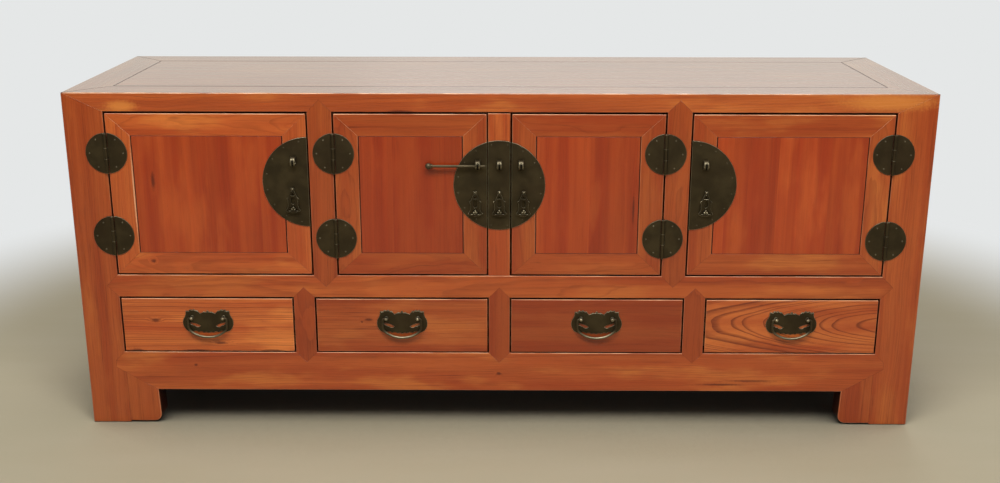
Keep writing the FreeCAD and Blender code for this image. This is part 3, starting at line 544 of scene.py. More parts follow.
class Neighbours:
    """Finds whether a point lies on or close to another timber."""

    def __init__(self):
        points, faces, self.owners = [], [], []
        for node in sorted(n for n in frame["nodes"] if not any(word in n for word in BRASS_WORDS)):
            for number, solid in enumerate(solids_of(node)):
                for corners in solid:
                    faces.append(tuple(range(len(points), len(points) + 3)))
                    points += corners
                    self.owners.append((node, number))
        self.tree = BVHTree.FromPolygons(points, faces)

    def near(self, point, distance, owner):
        return any(self.owners[hit[2]] != owner for hit in self.tree.find_nearest_range(point, distance))


NEIGHBOURS = Neighbours()
BEVEL_SCALE, BEVEL_STEPS = 4 * MM, 3
SHARP_ANGLE = math.radians(15)
# Where neighbours are felt for: shares of an edge's length, how far in from it and out of its face
FEELER_SHARES = (0.12, 0.5, 0.88)
FEELER_INWARD, FEELER_OUTWARD = 0.6 * MM, 0.35 * MM
TOUCHING, CLOSE = 0.5 * MM, 4 * MM
ON_FACE = 0.1 * MM


def edge_width(edge, owner, outer, gap, seam, top_seam):
    """How wide an edge is rounded: nothing inside joints, little at seams, more where it is free."""
    if len(edge.link_faces) != 2 or edge.calc_face_angle_signed(0) < SHARP_ANGLE:
        return 0.0
    covered, close = [], False
    for loop in edge.link_loops:
        start, end = loop.vert.co, loop.link_loop_next.vert.co
        normal = loop.face.normal
        inward = normal.cross(end - start).normalized()
        votes = 0
        for share in FEELER_SHARES:
            point = start.lerp(end, share) + inward * FEELER_INWARD + normal * FEELER_OUTWARD
            votes += NEIGHBOURS.near(point, TOUCHING, owner)
            close = close or NEIGHBOURS.near(point, CLOSE, owner)
        covered.append(votes > 1)
    if all(covered):
        return 0.0
    if any(covered):
        on_top = min(vert.co.z for vert in edge.verts) > cad_high.z - ON_FACE
        return top_seam if on_top else seam
    return gap if close else outer


def pull_in(bm, node, trim):
    """Draw the edges of a door or drawer front in, so that a shadow line shows round it."""
    low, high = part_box(node)
    side, foot, top = (width * MM for width in trim)
    for vert in bm.verts:
        for axis, low_width, high_width in ((X, side, side), (Z, foot, top)):
            if vert.co[axis] - low[axis] < ON_FACE:
                vert.co[axis] += low_width
            if high[axis] - vert.co[axis] < ON_FACE:
                vert.co[axis] -= high_width


def board_mesh(node, widths, trim):
    """A CAD node's boards as one mesh, with the width of each edge's rounding, and their boxes."""
    verts, faces, boards, boxes = [], [], [], []
    weights, sharp = {}, set()
    for number, triangles in enumerate(solids_of(node)):
        bm = clean_solid(triangles)
        if trim:
            pull_in(bm, node, trim)
        base = len(verts)
        verts += [tuple(v.co) for v in bm.verts]
        for face in bm.faces:
            faces.append([base + v.index for v in face.verts])
            boards.append(number)
        for edge in bm.edges:
            key = tuple(sorted((base + edge.verts[0].index, base + edge.verts[1].index)))
            width = edge_width(edge, (node, number), *widths)
            if width:
                weights[key] = width / BEVEL_SCALE
            elif edge.calc_face_angle(0) > SHARP_ANGLE:
                sharp.add(key)
        boxes.append(extent(triangles))
        bm.free()
    mesh = bpy.data.meshes.new(f"{node}_timber")
    mesh.from_pydata(verts, [], faces)
    mesh.attributes.new("board", "INT", "FACE").data.foreach_set("value", boards)
    bevel = mesh.attributes.new("bevel_weight_edge", "FLOAT", "EDGE")
    mesh.shade_smooth()
    for edge in mesh.edges:
        key = tuple(sorted(edge.vertices))
        bevel.data[edge.index].value = weights.get(key, 0.0)
        edge.use_edge_sharp = key in sharp
    return mesh, boxes


def timber(node, material=FRAME_WOOD, slot="frame_wood", outer=1.6, gap=1.0, seam=0.3, top_seam=0.3,
           seam_limit=0.8, soil=0.35, chips=None, trim=None, **look):
    """Rebuild a CAD node's timbers with rounded edges and a grain of their own, and hide the node.

    The widths of the roundings and the trim are in millimetres: at free edges, at edges beside a
    gap, at seams, and at seams of the top. A rounding narrower than the seam limit is soiled."""
    mesh, boxes = board_mesh(node, [width * MM for width in (outer, gap, seam, top_seam)], trim)
    piece = add_object(f"{node}_timber", mesh)
    rounded(piece, material, "WEIGHT", BEVEL_SCALE, BEVEL_STEPS)
    mark_edges(piece.data, chips, seam_limit * MM, soil)
    keep_one_material(piece.data)
    paint_grain(piece.data, boxes, node, **look)
    dress(piece, node)


# How much free edges are lightened: on upward-facing edges this is painted highlight as well as wear,
# elsewhere wear.
UPWARD, UPPER_RUB_AND_HIGHLIGHT, OTHER_RUB = 0.25, 1.0, 0.3


def mark_edges(mesh, chips, seam_limit, soil):
    """The edge attribute: x lightens free edges, as wear and, on upward-facing edges, as painted
    highlight; y is the soil in seams, z is 1 where edges chip.
    """
    values = []
    for polygon in mesh.polygons:
        value = [0.0, 0.0, 0.0]
        if polygon.material_index == 1:
            corners = [mesh.vertices[i].co for i in polygon.vertices]
            side = min((a - b).length for a, b in zip(corners, corners[1:] + corners[:1]))
            if side * BEVEL_STEPS < seam_limit:
                value[1] = soil
            else:
                value[0] = UPPER_RUB_AND_HIGHLIGHT if polygon.normal.z > UPWARD else OTHER_RUB
            if chips is not None and polygon.center.z < chips:
                value[2] = 1.0
        values += value
    mesh.attributes.new("edge", "FLOAT_VECTOR", "FACE").data.foreach_set("vector", values)


# How far a board's pith lies below and beside it, by the style of its grain
FLAT_DEPTH, FLAT_SPREAD = (30 * MM, 75 * MM), 0.3
STRAIGHT_DEPTH, STRAIGHT_OFFSET = 20 * MM, 50 * MM
ARCHED_DEPTH, ARCHED_OFFSET = 36 * MM, 4 * MM
SEEDS, REDNESS_SPREAD = (1, 40), 0.12


def place_in_log(dice, width, style, tilt):
    """Where a board's pith lies beside and below it, and how fast its grain runs out of its face."""
    kind = style if style != "mixed" else dice.choice(("straight", "flat", "straight"))
    depth = dice.uniform(*FLAT_DEPTH)
    offset = dice.uniform(-FLAT_SPREAD, FLAT_SPREAD) * width
    if kind == "straight":
        depth = dice.uniform(-STRAIGHT_DEPTH, STRAIGHT_DEPTH)
        offset = dice.choice((-1, 1)) * (STRAIGHT_OFFSET + width)
    slope = dice.uniform(0.4, 1.0) * dice.choice((-1, 1)) * tilt
    if kind == "arched":
        depth, offset, slope = ARCHED_DEPTH, ARCHED_OFFSET, tilt
    return offset, depth, slope


def paint_grain(mesh, boxes, node, grain=None, style="mixed", tone=(1.0, 0.0, 1.0), spread=0.06,
                rings=(3.4, 0.24, 1.0), tilt=0.03, planks=0.0, wavering=1.0, shade=None):
    """Give each board of a mesh its grain direction, its place in the log and its tone.

    Tone and rings are what Grain says of finish and rings, and shade is a rule for the brightness
    of each place."""
    dice = random.Random(f"{node} grain")
    frames = []
    for low, high in boxes:
        size = high - low
        order = sorted(range(3), key=lambda i: -size[i])
        if grain is not None:
            order = [grain] + [i for i in order if i != grain]
        offset, depth, slope = place_in_log(dice, size[order[1]], style, tilt)
        log = (offset, depth, dice.uniform(*SEEDS))
        bright = tone[0] * dice.uniform(1 - spread, 1 + spread)
        redness = tone[1] + dice.uniform(-REDNESS_SPREAD, REDNESS_SPREAD)
        frames.append(((low + high) / 2, order, log, (bright, redness, tone[2]), slope))
    board_of = [0] * len(mesh.vertices)
    for polygon, board in zip(mesh.polygons, mesh.attributes["board"].data):
        for index in polygon.vertices:
            board_of[index] = board.value
    values = {name: [] for name in ("grain", "log", "finish", "rings", "planks")}
    for vertex, board in zip(mesh.vertices, board_of):
        middle, order, log, finish, slope = frames[board]
        along, across, through = (vertex.co[i] - middle[i] for i in order)
        values["grain"] += (along, across, through + slope * along)
        values["log"] += log
        brightness = finish[0] * (shade(vertex.co) if shade else 1.0)
        values["finish"] += (brightness, finish[1], finish[2])
        values["rings"] += rings
        values["planks"] += (planks, wavering, 0.0)
    for name, data in values.items():
        mesh.attributes.new(name, "FLOAT_VECTOR", "POINT").data.foreach_set("vector", data)


# The brightness left by painted shade on the feet's hidden faces and on the top, and how far behind a
# face its look goes
FOOT_PAINTED_SHADE, TOP_PAINTED_SHADE, SKIN = 0.12, 0.50, 1 * MM
INNER_LOOK = {"outer": 0.8, "gap": 0.6, "rings": (3.4, 0.4, 0.8)}
# How far doors and drawer fronts are drawn in at sides, foot and top, in millimetres
DOOR_TRIM, DRAWER_TRIM = (0.8, 1.1, 1.5), (1.7, 1.1, 2.2)
CHIPPED_HEIGHT = 4 * MM


def foot_shade(place):
    """The foot blocks are darkened behind their front face: painted shade."""
    return 1.0 if place.y < front_y + SKIN else FOOT_PAINTED_SHADE


def top_shade(place):
    """The top is darkened: painted shade."""
    return TOP_PAINTED_SHADE if place.z > cad_high.z - SKIN else 1.0


def carcass_timbers():
    for node in ("back_legs", "back_rails", "side_rails"):
        timber(node, outer=1.8)
    timber("front_bottom_rail", outer=1.8, tone=(0.92, 0.1, 0.8))
    timber("front_legs", outer=1.8, tone=(0.90, 0.3, 0.5))
    timber("foot_blocks", outer=1.8, tone=(0.84, 0.4, 0.4), shade=foot_shade)
    timber(
        "top_frame_rails", TOP_WOOD, outer=1.8, seam=0.25, top_seam=1.6, seam_limit=2.7, soil=0.8,
        tone=(1.05, 0.05, 0.9), shade=top_shade,
    )
    timber("back_posts")
    timber("centre_post", tone=(0.98, 0.1, 0.3))
    timber("front_middle_rail", tone=(0.91, 0.2, 0.5))
    timber("door_posts", tone=(0.82, 0.5, 0.5))
    timber("drawer_posts", tone=(0.78, 0.75, 0.3))
    timber(
        "top_panel", TOP_WOOD, seam=2.2, top_seam=2.2, seam_limit=8.8, soil=0.95, style="flat",
        planks=148.0, tone=(1.0, 0.0, 0.6), shade=top_shade,
    )
    for node in ("side_panels", "back_panels"):
        timber(node, PANEL_WOOD, "panel_wood", gap=0.7, grain=Z, style="flat", planks=115.0)
    for node in ("compartment_floor", "drawer_runners", "drawer_guides", "top_battens"):
        timber(node, INNER_WOOD, "inner_wood", **INNER_LOOK)


def door_timbers():
    looks = {
        "left": ((0.97, 0.2, 0.8), (1.04, 0.1, 0.9)),
        "centre_left": ((0.90, 0.35, 0.5), (0.84, 0.5, 0.5)),
        "centre_right": ((0.94, 0.15, 0.7), (0.83, 0.4, 0.5)),
        "right": ((1.05, 0.0, 0.8), (0.88, 0.25, 0.8)),
    }
    for name, (panel_tone, frame_tone) in looks.items():
        timber(
            f"door_{name}_frame", outer=1.3, gap=1.3, soil=0.5, trim=DOOR_TRIM, tone=frame_tone,
            spread=0.04,
        )
        timber(
            f"door_{name}_panel", PANEL_WOOD, "panel_wood", outer=0.8, gap=0.7, seam=0.5, seam_limit=2.0,
            soil=0.75, grain=Z, style="straight", tone=panel_tone, rings=(5.5, 0.06, 0.6), tilt=0.015,
            planks=96.0,
        )


def drawer_timbers():
    looks = {
        1: {"style": "straight", "tone": (1.14, 0.0, 0.9), "rings": (3.7, 0.50, 0.9), "wavering": 0.5},
        2: {"style": "straight", "tone": (0.87, 0.35, 0.8), "rings": (4.2, 0.24, 1.2), "wavering": 0.6},
        3: {"style": "straight", "tone": (0.77, 0.70, 0.5), "rings": (4.4, 0.12, 0.9)},
        4: {
            "style": "arched", "tone": (1.0, 0.0, 0.3), "rings": (4.4, 0.75, 0.6), "tilt": 0.14,
            "wavering": 0.45,
        },
    }
    looks[1]["chips"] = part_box("drawer_1_front")[0].z + CHIPPED_HEIGHT
    for number, look in looks.items():
        front = f"drawer_{number}_front"
        timber(front, DRAWER_WOOD, outer=1.2, gap=1.2, spread=0.0, trim=DRAWER_TRIM, **look)
        timber(f"drawer_{number}_box", INNER_WOOD, "inner_wood", **INNER_LOOK)


# Brass pieces

# How far rounded brass edges are lightened: wear and painted highlight.
RIM_RUB_AND_HIGHLIGHT = 0.8


class Brasswork:
    """The mesh of one brass piece, with how far each face is lightened, as wear and as painted highlight.
    """

    def __init__(self):
        self.verts, self.faces, self.rubs = [], [], []

    def solid(self, triangles, shape=None, rub_and_highlight=0.0):
        """Add a CAD solid, with a change to its shape if one is wanted. A value below 0 darkens, as soot
        on the drop pulls' fronts and as painted shade in the lock ears' grooves.
        """
        bm = clean_solid(triangles)
        if shape:
            shape(bm)
            bm.verts.index_update()
        base = len(self.verts)
        self.verts += [tuple(v.co) for v in bm.verts]
        for face in bm.faces:
            self.faces.append([base + v.index for v in face.verts])
            self.rubs.append(rub_and_highlight(face) if callable(rub_and_highlight) else rub_and_highlight)
        bm.free()

    def lathe(self, start, axis, profile, rub_and_highlight=0.0, segments=28):
        """Add a turned form: pairs of distance along the axis and radius, closed at radius 0."""
        axis = Vector(axis)
        side = axis.orthogonal().normalized()
        other = axis.cross(side)
        rings = []
        for along, radius in profile:
            centre = Vector(start) + axis * along
            count = 1 if radius == 0 else segments
            rings.append(range(len(self.verts), len(self.verts) + count))
            for i in range(count):
                turn = 2 * math.pi * i / segments
                outward = side * math.cos(turn) + other * math.sin(turn)
                self.verts.append(tuple(centre + radius * outward))
        for low, high in zip(rings, rings[1:]):
            for i in range(segments):
                j = (i + 1) % segments
                corners = [low[i % len(low)], low[j % len(low)], high[j % len(high)], high[i % len(high)]]
                self.faces.append(list(dict.fromkeys(corners)))
                self.rubs.append(rub_and_highlight)

    def finish(self, node, width, angle=35, rim=RIM_RUB_AND_HIGHLIGHT):
        """Make the piece. The rim is how far its rounded edges are lightened, as wear and painted
        highlight, or a rule for their faces.
        """
        name = f"{node}_brass"
        mesh = bpy.data.meshes.new(name)
        mesh.from_pydata(self.verts, [], self.faces)
        mesh.attributes.new("rub_and_highlight", "FLOAT", "FACE").data.foreach_set("value", self.rubs)
        mesh.shade_smooth()
        piece = add_object(name, mesh)
        rounded(piece, BRASS, "ANGLE", width * MM, 2, math.radians(angle))
        values = []
        for polygon, rub_and_highlight in zip(piece.data.polygons, piece.data.attributes["rub_and_highlight"].data):
            edge_rub_and_highlight = polygon.material_index * (rim(polygon) if callable(rim) else rim)
            values += (max(rub_and_highlight.value, edge_rub_and_highlight), max(-rub_and_highlight.value, 0.0), 0.0)
        piece.data.attributes.new("edge", "FLOAT_VECTOR", "FACE").data.foreach_set("vector", values)
        keep_one_material(piece.data)
        dress(piece, node)


DOME_STEPS = 5
NAIL_RADIUS, NAIL_HEIGHT = 1.6 * MM, 0.8 * MM
# How far nail heads are lightened: wear and painted highlight.
NAIL_RUB_AND_HIGHLIGHT, LOCK_NAIL_RUB_AND_HIGHLIGHT = 0.30, 0.1


def dome(radius, height, sunk=0.4 * MM):
    """The profile of a domed head that stands on a plate."""
    turns = [math.pi / 2 * i / DOME_STEPS for i in range(DOME_STEPS)]
    curve = [(height * math.sin(turn), radius * math.cos(turn)) for turn in turns]
    return [(-sunk, 0), (-sunk, radius), *curve, (height, 0)]


def nail(work, x, y, z, rub_and_highlight=NAIL_RUB_AND_HIGHLIGHT):
    work.lathe((x, y, z), OUTWARD, dome(NAIL_RADIUS, NAIL_HEIGHT), rub_and_highlight=rub_and_highlight, segments=14)


# The hinge plates' thickness, and how far their rims are lightened: wear and painted highlight.
HINGE_THICKNESS, HINGE_RUB_AND_HIGHLIGHT = 1.6 * MM, 0.4
HINGE_NAIL_RADIUS, HINGE_NAIL_ANGLES = 31 * MM, (-58, 0, 55)
PIN_KNOB = 1.9 * MM
# A hinge pin's rounded end: how far its rings stand past the knuckle, and their shares of the knob
PIN_END = [(1.5 * MM, 0), (1.2 * MM, 0.8), (0.5 * MM, 1)]


def hinge_leaf_pieces(pins):
    """The round hinge halves with their nails."""
    for node in sorted(name for name in frame["nodes"] if name.endswith("leaves")):
        work = Brasswork()
        for triangles in solids_of(node):
            work.solid(triangles)
            low, high = extent(triangles)
            middle = (low + high) / 2
            axis = min(((a + b) / 2 for a, b in pins), key=lambda p: (p - middle).length)
            side = 1 if middle.x > axis.x else -1
            for angle in HINGE_NAIL_ANGLES:
                turn = math.radians(angle)
                x = axis.x + side * HINGE_NAIL_RADIUS * math.cos(turn)
                z = axis.z + HINGE_NAIL_RADIUS * math.sin(turn)
                nail(work, x, front_y - HINGE_THICKNESS, z)
        work.finish(node, 0.5, rim=HINGE_RUB_AND_HIGHLIGHT)


def hinge_pin_piece(pins):
    """The pins through the hinges' knuckles, with a knob at each end."""
    work = Brasswork()
    for low, high in pins:
        radius, length = (high.x - low.x) / 2, high.z - low.z
        middle = (low + high) / 2
        foot = [(-past, share * PIN_KNOB) for past, share in PIN_END]
        head = [(length + past, share * PIN_KNOB) for past, share in reversed(PIN_END)]
        profile = [*foot, (0, radius), (length, radius), *head]
        work.lathe((middle.x, middle.y, low.z), (0, 0, 1), profile, rub_and_highlight=0.3, segments=16)
    work.finish("hinge_pins", 0.1, angle=60)


# How far a lock ear's nose stands out at shares of its half width, and how it is stretched upwards
LUG_SLICES = {0.0: 0.80, 0.16: 0.83, 0.38: 0.98, 0.62: 1.0, 0.85: 0.93, 1.0: 0.84}
LUG_STRETCH = 1.12
# In half widths: the groove is within the first, the cheeks are outside the second
LUG_GROOVE, LUG_CHEEK = 0.3, 0.7
# It keeps its shape this near its bore and its base
LUG_BORE, LUG_BASE = 2.8 * MM, 1.2 * MM
# How far above its middle its crown starts and its groove ends, and how far below its bore lies
LUG_CROWN, LUG_GROOVE_TOP, LUG_BORE_FALL = 4.6 * MM, 3.5 * MM, 1.5 * MM
# The share of its depth that the bore lies in front of its base
LUG_BORE_SHARE = 0.6
# The painted highlight on a lock ear's ribs and crown
LUG_HIGHLIGHT = 0.34
# The y of a normal, below which a face looks forward, and straight forward
FORWARD, STRAIGHT_FORWARD = -0.2, -0.95


def lug_highlight_and_shade(face, low, high):
    """A lock ear has painted highlight on its two ribs and its crown, and painted shade in the groove
    between them.
    """
    middle = (low + high) / 2
    place = face.calc_center_median()
    if face.normal.y > FORWARD:
        return 0.0
    in_groove = abs(place.x - middle.x) < LUG_GROOVE * (high.x - low.x) / 2
    return -1.0 if in_groove and place.z < middle.z + LUG_GROOVE_TOP else LUG_HIGHLIGHT


def carve_lug(low, high):
    """Hollow a lock ear's nose between two ribs, and round off its cheeks, outside its bore."""
    half = (high.x - low.x) / 2
    middle = (low + high) / 2
    axis = Vector((0, high.y - LUG_BORE_SHARE * (high.y - low.y), middle.z - LUG_BORE_FALL))
    cuts = [side * share * half for share in LUG_SLICES if share < 1 for side in (-1, 1)]

    def shape(bm):
        for cut in cuts:
            geometry = bm.verts[:] + bm.edges[:] + bm.faces[:]
            place = (middle.x + cut, 0, 0)
            bmesh.ops.bisect_plane(bm, geom=geometry, dist=1e-7, plane_co=place, plane_no=(1, 0, 0))
        for vert in bm.verts:
            away = vert.co - axis
            away.x = 0
            if away.length < LUG_BORE or vert.co.y > high.y - LUG_BASE:
                continue
            share = abs(vert.co.x - middle.x) / half
            scale = LUG_SLICES[min(LUG_SLICES, key=lambda s: abs(s - share))]
            if vert.co.z > middle.z + LUG_CROWN and share < LUG_CHEEK:
                scale = 1.0
            vert.co.y = axis.y + away.y * scale
            vert.co.z = axis.z + away.z * LUG_STRETCH * (scale if share > LUG_CHEEK else 1.0)
        bm.normal_update()

    return shape


LOCK_NAMES = ("door_left", "door_centre_left", "centre_post", "door_centre_right", "door_right")
LOCK_NAIL_RADIUS, LOCK_NAIL_MARGIN = 78 * MM, 3 * MM
LOCK_NAILS, LOCK_NAIL_TURN = 16, 11
# The dome on a drop pull's eye: how much wider than the eye, how far behind its front, how high
EYE_MARGIN, EYE_SINK, EYE_HEIGHT = 0.15 * MM, 0.9 * MM, 1.6 * MM


def lock_nails(work, low, high, centre_x):
    """The nails round one lock plate's part of the disc."""
    centre_z = (low.z + high.z) / 2
    for i in range(LOCK_NAILS):
        turn = math.radians(360 / LOCK_NAILS * i + LOCK_NAIL_TURN)
        x = centre_x + LOCK_NAIL_RADIUS * math.cos(turn)
        if low.x + LOCK_NAIL_MARGIN < x < high.x - LOCK_NAIL_MARGIN:
            z = centre_z + LOCK_NAIL_RADIUS * math.sin(turn)
            nail(work, x, low.y, z, rub_and_highlight=LOCK_NAIL_RUB_AND_HIGHLIGHT)


def lock_pieces():
    """The round lock plates with their nails, lugs and the eyes of the drop pulls."""
    for name in LOCK_NAMES:
        node = f"{name}_lock_fittings"
        plate, lug, eye = sorted(solids_of(node), key=lambda s: -(extent(s)[1] - extent(s)[0]).length)
        low, high = extent(plate)
        centre_x = {"door_left": high.x, "door_right": low.x}.get(name, 0)
        work = Brasswork()
        work.solid(plate)
        lock_nails(work, low, high, centre_x)
        lug_low, lug_high = extent(lug)
        work.solid(lug, carve_lug(lug_low, lug_high), lambda face: lug_highlight_and_shade(face, lug_low, lug_high))
        eye_low, eye_high = extent(eye)
        work.solid(eye)
        ball = dome((eye_high - eye_low).x / 2 + EYE_MARGIN, EYE_HEIGHT, 0)
        middle = (eye_low + eye_high) / 2
        # The eye's dome is lightened all over: wear and painted highlight.
        work.lathe((middle.x, eye_low.y + EYE_SINK, middle.z), OUTWARD, ball, rub_and_highlight=1.0)
        work.finish(node, 0.5)


# The lock pin's rings past its ball, and back from its tip: distances and radii in millimetres
PIN_COLLAR = [(0.2, 3.6), (1.1, 4.0), (2.0, 3.6), (2.4, 2.5)]
PIN_TIP = [(3, 2.5), (0.8, 1.5), (0, 0)]


def lock_pin_piece():
    """The lock pin: a ball head on a collar, a round shaft and a tapered tip."""
    low, high = extent([t for solid in solids_of("lock_pin") for t in solid])
    middle = (low + high) / 2
    head, length = (high.z - low.z) / 2, high.x - low.x
    turns = [math.radians(angle) for angle in range(20, 150, 13)]
    ball = [(head - head * math.cos(turn), head * math.sin(turn)) for turn in turns]
    collar = [(2 * head + along * MM, radius * MM) for along, radius in PIN_COLLAR]
    tip = [(length - back * MM, radius * MM) for back, radius in PIN_TIP]
    work = Brasswork()
    work.lathe((low.x, middle.y, middle.z), (1, 0, 0), [(0, 0), *ball, *collar, *tip], rub_and_highlight=0.12)
    work.finish("lock_pin", 0.1, angle=60)


# How far a drop pull's sides are lightened, as wear and painted highlight, its fronts sooted, and its
# inner edges lightened
DROP_RUB_AND_HIGHLIGHT, DROP_SOOT, DROP_INNER_RUB_AND_HIGHLIGHT = 0.35, 0.35, 0.1
DROP_FOOT, DROP_HEAD = 2.5 * MM, 3 * MM
# The clover of bosses in the arch at a drop's foot: places across and up, in millimetres
BOSSES = ((0, 10.6), (-2.4, 7.4), (2.4, 7.4))
BOSS_RADIUS, BOSS_HEIGHT, BOSS_SINK = 1.4 * MM, 0.7 * MM, 0.1 * MM


def drop_rub_highlight_and_soot(face):
    """Drop pulls are lightened on their edges, as wear and as painted highlight, and their flat fronts
    have kept their soot.
    """
    return -DROP_SOOT if face.normal.y < STRAIGHT_FORWARD else DROP_RUB_AND_HIGHLIGHT


def drop_rim(face, low, high):
    """A drop pull's outline is lightened, as wear and as painted highlight, and not round the holes in
    it.
    """
    outward = face.normal.x * (face.center.x - (low.x + high.x) / 2) > 0
    at_end = face.center.z < low.z + DROP_FOOT or face.center.z > high.z - DROP_HEAD
    return 1.0 if outward or at_end else DROP_INNER_RUB_AND_HIGHLIGHT


def drop_pieces():
    """The drop pulls, each with its clover of bosses."""
    for name in LOCK_NAMES:
        node = f"{name}_drop"
        low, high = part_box(node)
        work = Brasswork()
        for triangles in solids_of(node):
            work.solid(triangles, rub_and_highlight=drop_rub_highlight_and_soot)
        for across, up in BOSSES:
            place = ((low.x + high.x) / 2 + across * MM, low.y + BOSS_SINK, low.z + up * MM)
            # The bosses are lightened all over: wear and painted highlight.
            work.lathe(place, OUTWARD, dome(BOSS_RADIUS, BOSS_HEIGHT), rub_and_highlight=1.0, segments=14)
        work.finish(node, 0.4, rim=lambda face: drop_rim(face, low, high))


# Small lobes along a plate's upper edge: place from its middle and radius, in millimetres
PLATE_LOBES = [(0, 2.4), (7, 2.0), (20.5, 2.2), (26.5, 2.6), (33, 2.6), (38.5, 2.2)]
LOBE_THICKNESS, LOBE_SINK = 1.35 * MM, 0.7 * MM
# The knobs on a plate's two posts: from its middle, below its top and behind its front
KNOB_ACROSS, KNOB_FALL, KNOB_SINK = 30 * MM, 14.6 * MM, 0.2 * MM
KNOB_RADIUS, KNOB_HEIGHT, KNOB_ROOT = 2.7 * MM, 2.0 * MM, 0.6 * MM
# How much a bail is thickened at its foot, and up to what share of its height
BAIL_SWELL, BAIL_SWELL_SHARE = 0.35 * MM, 0.55
# How far a bail is lightened, as wear and as painted highlight, the side facing the light that gets it,
# and the least that is left higher up
BAIL_RUB_AND_HIGHLIGHT, BAIL_LIT_SIDE, BAIL_LEAST = 0.9, Vector((0, -0.8, 0.6)), 0.1


def upper_edge(triangles, x):
    """The height of a solid's upper edge at a place across it."""
    heights = []
    for corners in triangles:
        for a, b in zip(corners, corners[1:] + corners[:1]):
            if a[X] != b[X] and (a[X] - x) * (b[X] - x) <= 0:
                heights.append(a[Z] + (b[Z] - a[Z]) * (x - a[X]) / (b[X] - a[X]))
    return max(heights)


def plate_lobes(work, triangles):
    """The cloud-like lobes that the plate's upper edge is cut to."""
    low, high = extent(triangles)
    for across, radius in PLATE_LOBES:
        for side in (-1, 1) if across else (1,):
            x = (low.x + high.x) / 2 + side * across * MM
            place = (x, high.y, upper_edge(triangles, x) - LOBE_SINK)
            profile = [(0, 0), (0, radius * MM), (LOBE_THICKNESS, radius * MM), (LOBE_THICKNESS, 0)]
            work.lathe(place, OUTWARD, profile, segments=18)


def handle_plate_piece(node):
    """A bat-shaped plate, with knobs on its posts."""
    work = Brasswork()
    for triangles in solids_of(node):
        work.solid(triangles)
        plate_lobes(work, triangles)
    low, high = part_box(node)
    for side in (-1, 1):
        place = ((low.x + high.x) / 2 + side * KNOB_ACROSS, low.y + KNOB_SINK, high.z - KNOB_FALL)
        # The knobs are lightened all over: wear and painted highlight.
        work.lathe(place, OUTWARD, dome(KNOB_RADIUS, KNOB_HEIGHT, KNOB_ROOT), rub_and_highlight=1.0, segments=20)
    work.finish(node, 0.45)


def bail_rub_and_highlight(face, bottom, tall):
    """A bail is lightened on the front and top of its low curve, where fingers pull it and where it faces
    the light: wear and painted highlight.
    """
    height = (face.calc_center_median().z - bottom) / tall
    facing = max(0.0, face.normal.dot(BAIL_LIT_SIDE))
    return BAIL_RUB_AND_HIGHLIGHT * facing * max(BAIL_LEAST, 1 - 2 * height)


def bail_piece(node):
    """A bail, a little thicker along its low curve."""
    low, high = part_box(node)
    tall = high.z - low.z

    def swell(bm):
        for vert in bm.verts:
            share = max(0.0, 1 - (vert.co.z - low.z) / (BAIL_SWELL_SHARE * tall))
            vert.co += vert.normal * BAIL_SWELL * share

    work = Brasswork()
    for triangles in solids_of(node):
        work.solid(triangles, swell, lambda face: bail_rub_and_highlight(face, low.z, tall))
    work.finish(node, 0.1, angle=60)


# Camera, lamps, floor and world

# From the fit of the cabinet's corners in the photo: metres, degrees, millimetres
CAMERA_PLACE, YAW_PITCH_ROLL = (0.0141, -2.4112, 1.0259), (-0.339, 16.687, 0.067)
CAMERA_LENS, SENSOR_WIDTH = 43.387, 36.0


def camera():
    """The photograph's view."""
    yaw, pitch, roll = map(math.radians, YAW_PITCH_ROLL)
    data = bpy.data.cameras.new("camera")
    data.sensor_width = SENSOR_WIDTH
    data.lens = CAMERA_LENS
    made = add_object("camera", data)
    aim = Matrix.Rotation(-yaw, 4, "Z") @ Matrix.Rotation(math.pi / 2 - pitch, 4, "X")
    made.matrix_world = Matrix.Translation(CAMERA_PLACE) @ aim @ Matrix.Rotation(roll, 4, "Z")
    bpy.context.scene.camera = made


def lamp(name, place, target, size, power):
    data = bpy.data.lights.new(name, "AREA")
    data.shape = "RECTANGLE"
    data.size, data.size_y = size
    data.energy = power
    made = add_object(name, data)
    made.location = place
    made.rotation_euler = (Vector(target) - Vector(place)).to_track_quat("-Z", "Y").to_euler()


BACKGROUND = srgb(229, 231, 231)
REFLECTED = srgb(229, 225, 213)
DIM_ROOM = srgb(96, 94, 90)
FLOOR_DARK, FLOOR_LIGHT, FLOOR_SHADOW = srgb(170, 160, 132), srgb(178, 169, 144), srgb(30, 28, 24)
FLOOR_NOISE = ((2, 9, 3), 3, 0.5)
FLOOR_HALF_SIZE, SHADOW_REACH, SHADOW_SHARE = 14, 420 * MM, 0.93
# How far from the cabinet's middle the floor passes into the background
FLOOR_NEAR, FLOOR_FAR = 1.15, 1.85
# Where along y the background starts for rays that aren't the camera's
FLOOR_BEHIND, WORLD_BEHIND = (-0.9, 0.0), (-0.25, 0.35)
WORLD_LIGHT, WORLD_STRENGTH = srgb(240, 243, 248), 0.13


def seen_directly(n):
    """1 for rays that show the background."""
    return n.most(n.ray("Camera"), n.ray("Glossy"), n.ray("Transmission"))


def background_colour(n):
    """The pale background, a little warmer where it is mirrored."""
    return n.mix(n.ray("Glossy"), BACKGROUND, REFLECTED)


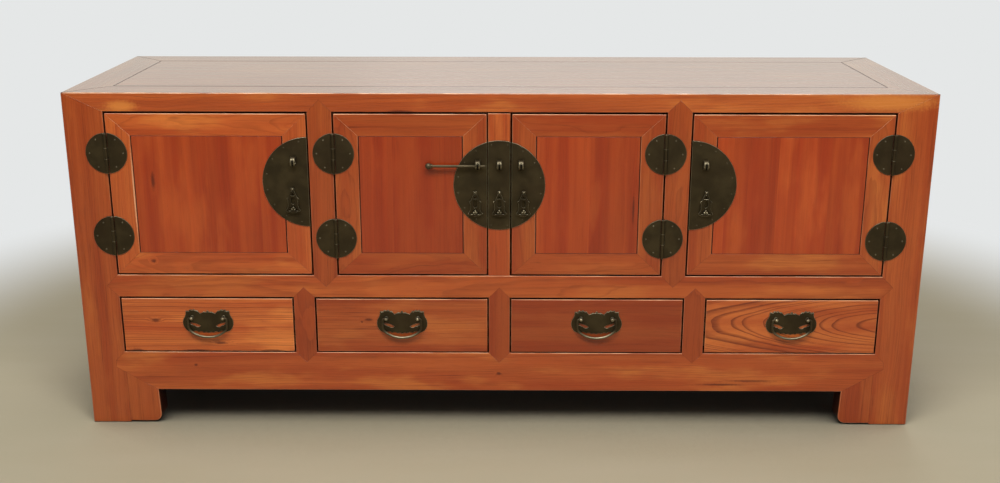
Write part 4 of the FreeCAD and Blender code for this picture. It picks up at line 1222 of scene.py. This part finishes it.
def floor():
    """A plain floor that passes into the pale background some way from the cabinet."""
    bm = bmesh.new()
    bmesh.ops.create_grid(bm, x_segments=8, y_segments=8, size=FLOOR_HALF_SIZE)
    mesh = bpy.data.meshes.new("floor")
    bm.to_mesh(mesh)
    bm.free()
    made = add_object("floor", mesh)
    material = bpy.data.materials.new("floor")
    n = Nodes(material)
    place = n.place()
    colour = n.mix(n.noise(place, *FLOOR_NOISE), FLOOR_DARK, FLOOR_LIGHT)
    colour = n.mix(n.product(n.crevice(SHADOW_REACH), SHADOW_SHARE), colour, FLOOR_SHADOW)
    near = n.node("ShaderNodeBsdfPrincipled", {"Base Color": colour, "Roughness": 0.7})
    far = n.node("ShaderNodeEmission", {"Color": background_colour(n)})
    distance = n.ramp(n.vector("LENGTH", place), FLOOR_NEAR, FLOOR_FAR)
    behind = n.most(n.ramp(n.split(place)[Y], *FLOOR_BEHIND), n.ray("Camera"))
    share = n.product(distance, behind, seen_directly(n))
    n.output(n.node("ShaderNodeMixShader", {0: share, 1: near.outputs[0], 2: far.outputs[0]}))
    mesh.materials.append(material)
    made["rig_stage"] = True


def world():
    """The pale background behind the cabinet, a dimmer room before it, and weak light all round."""
    made = bpy.data.worlds.new("world")
    bpy.context.scene.world = made
    n = Nodes(made)
    behind = n.ramp(n.split(n.place("Generated"))[Y], *WORLD_BEHIND)
    behind = n.most(behind, n.ray("Camera"))
    seen = n.mix(behind, DIM_ROOM, background_colour(n))
    shown = n.node("ShaderNodeBackground", {"Color": seen})
    light = n.node("ShaderNodeBackground", {"Color": WORLD_LIGHT, "Strength": WORLD_STRENGTH})
    n.output(
        n.node("ShaderNodeMixShader", {0: seen_directly(n), 1: light.outputs[0], 2: shown.outputs[0]}),
        "ShaderNodeOutputWorld",
    )


def lamps():
    lamp("key", (-0.25, -2.0, 2.9), (0, 0, 0.40), (3.4, 1.0), 119)
    lamp("fill", (1.6, -2.6, 2.3), (0, 0, 0.35), (1.6, 1.2), 16)
    lamp("back", (0.5, 2.6, 2.3), (0, 0, 0.35), (2.4, 1.2), 34)


def main():
    bpy.context.scene.view_settings.view_transform = "Standard"
    camera()
    floor()
    world()
    lamps()
    carcass_timbers()
    door_timbers()
    drawer_timbers()
    pins = [extent(solid) for solid in solids_of("hinge_pins")]
    hinge_leaf_pieces(pins)
    hinge_pin_piece(pins)
    lock_pieces()
    lock_pin_piece()
    drop_pieces()
    for number in (1, 2, 3, 4):
        handle_plate_piece(f"drawer_{number}_handle_plate")
        bail_piece(f"drawer_{number}_bail")


main()
low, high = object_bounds()
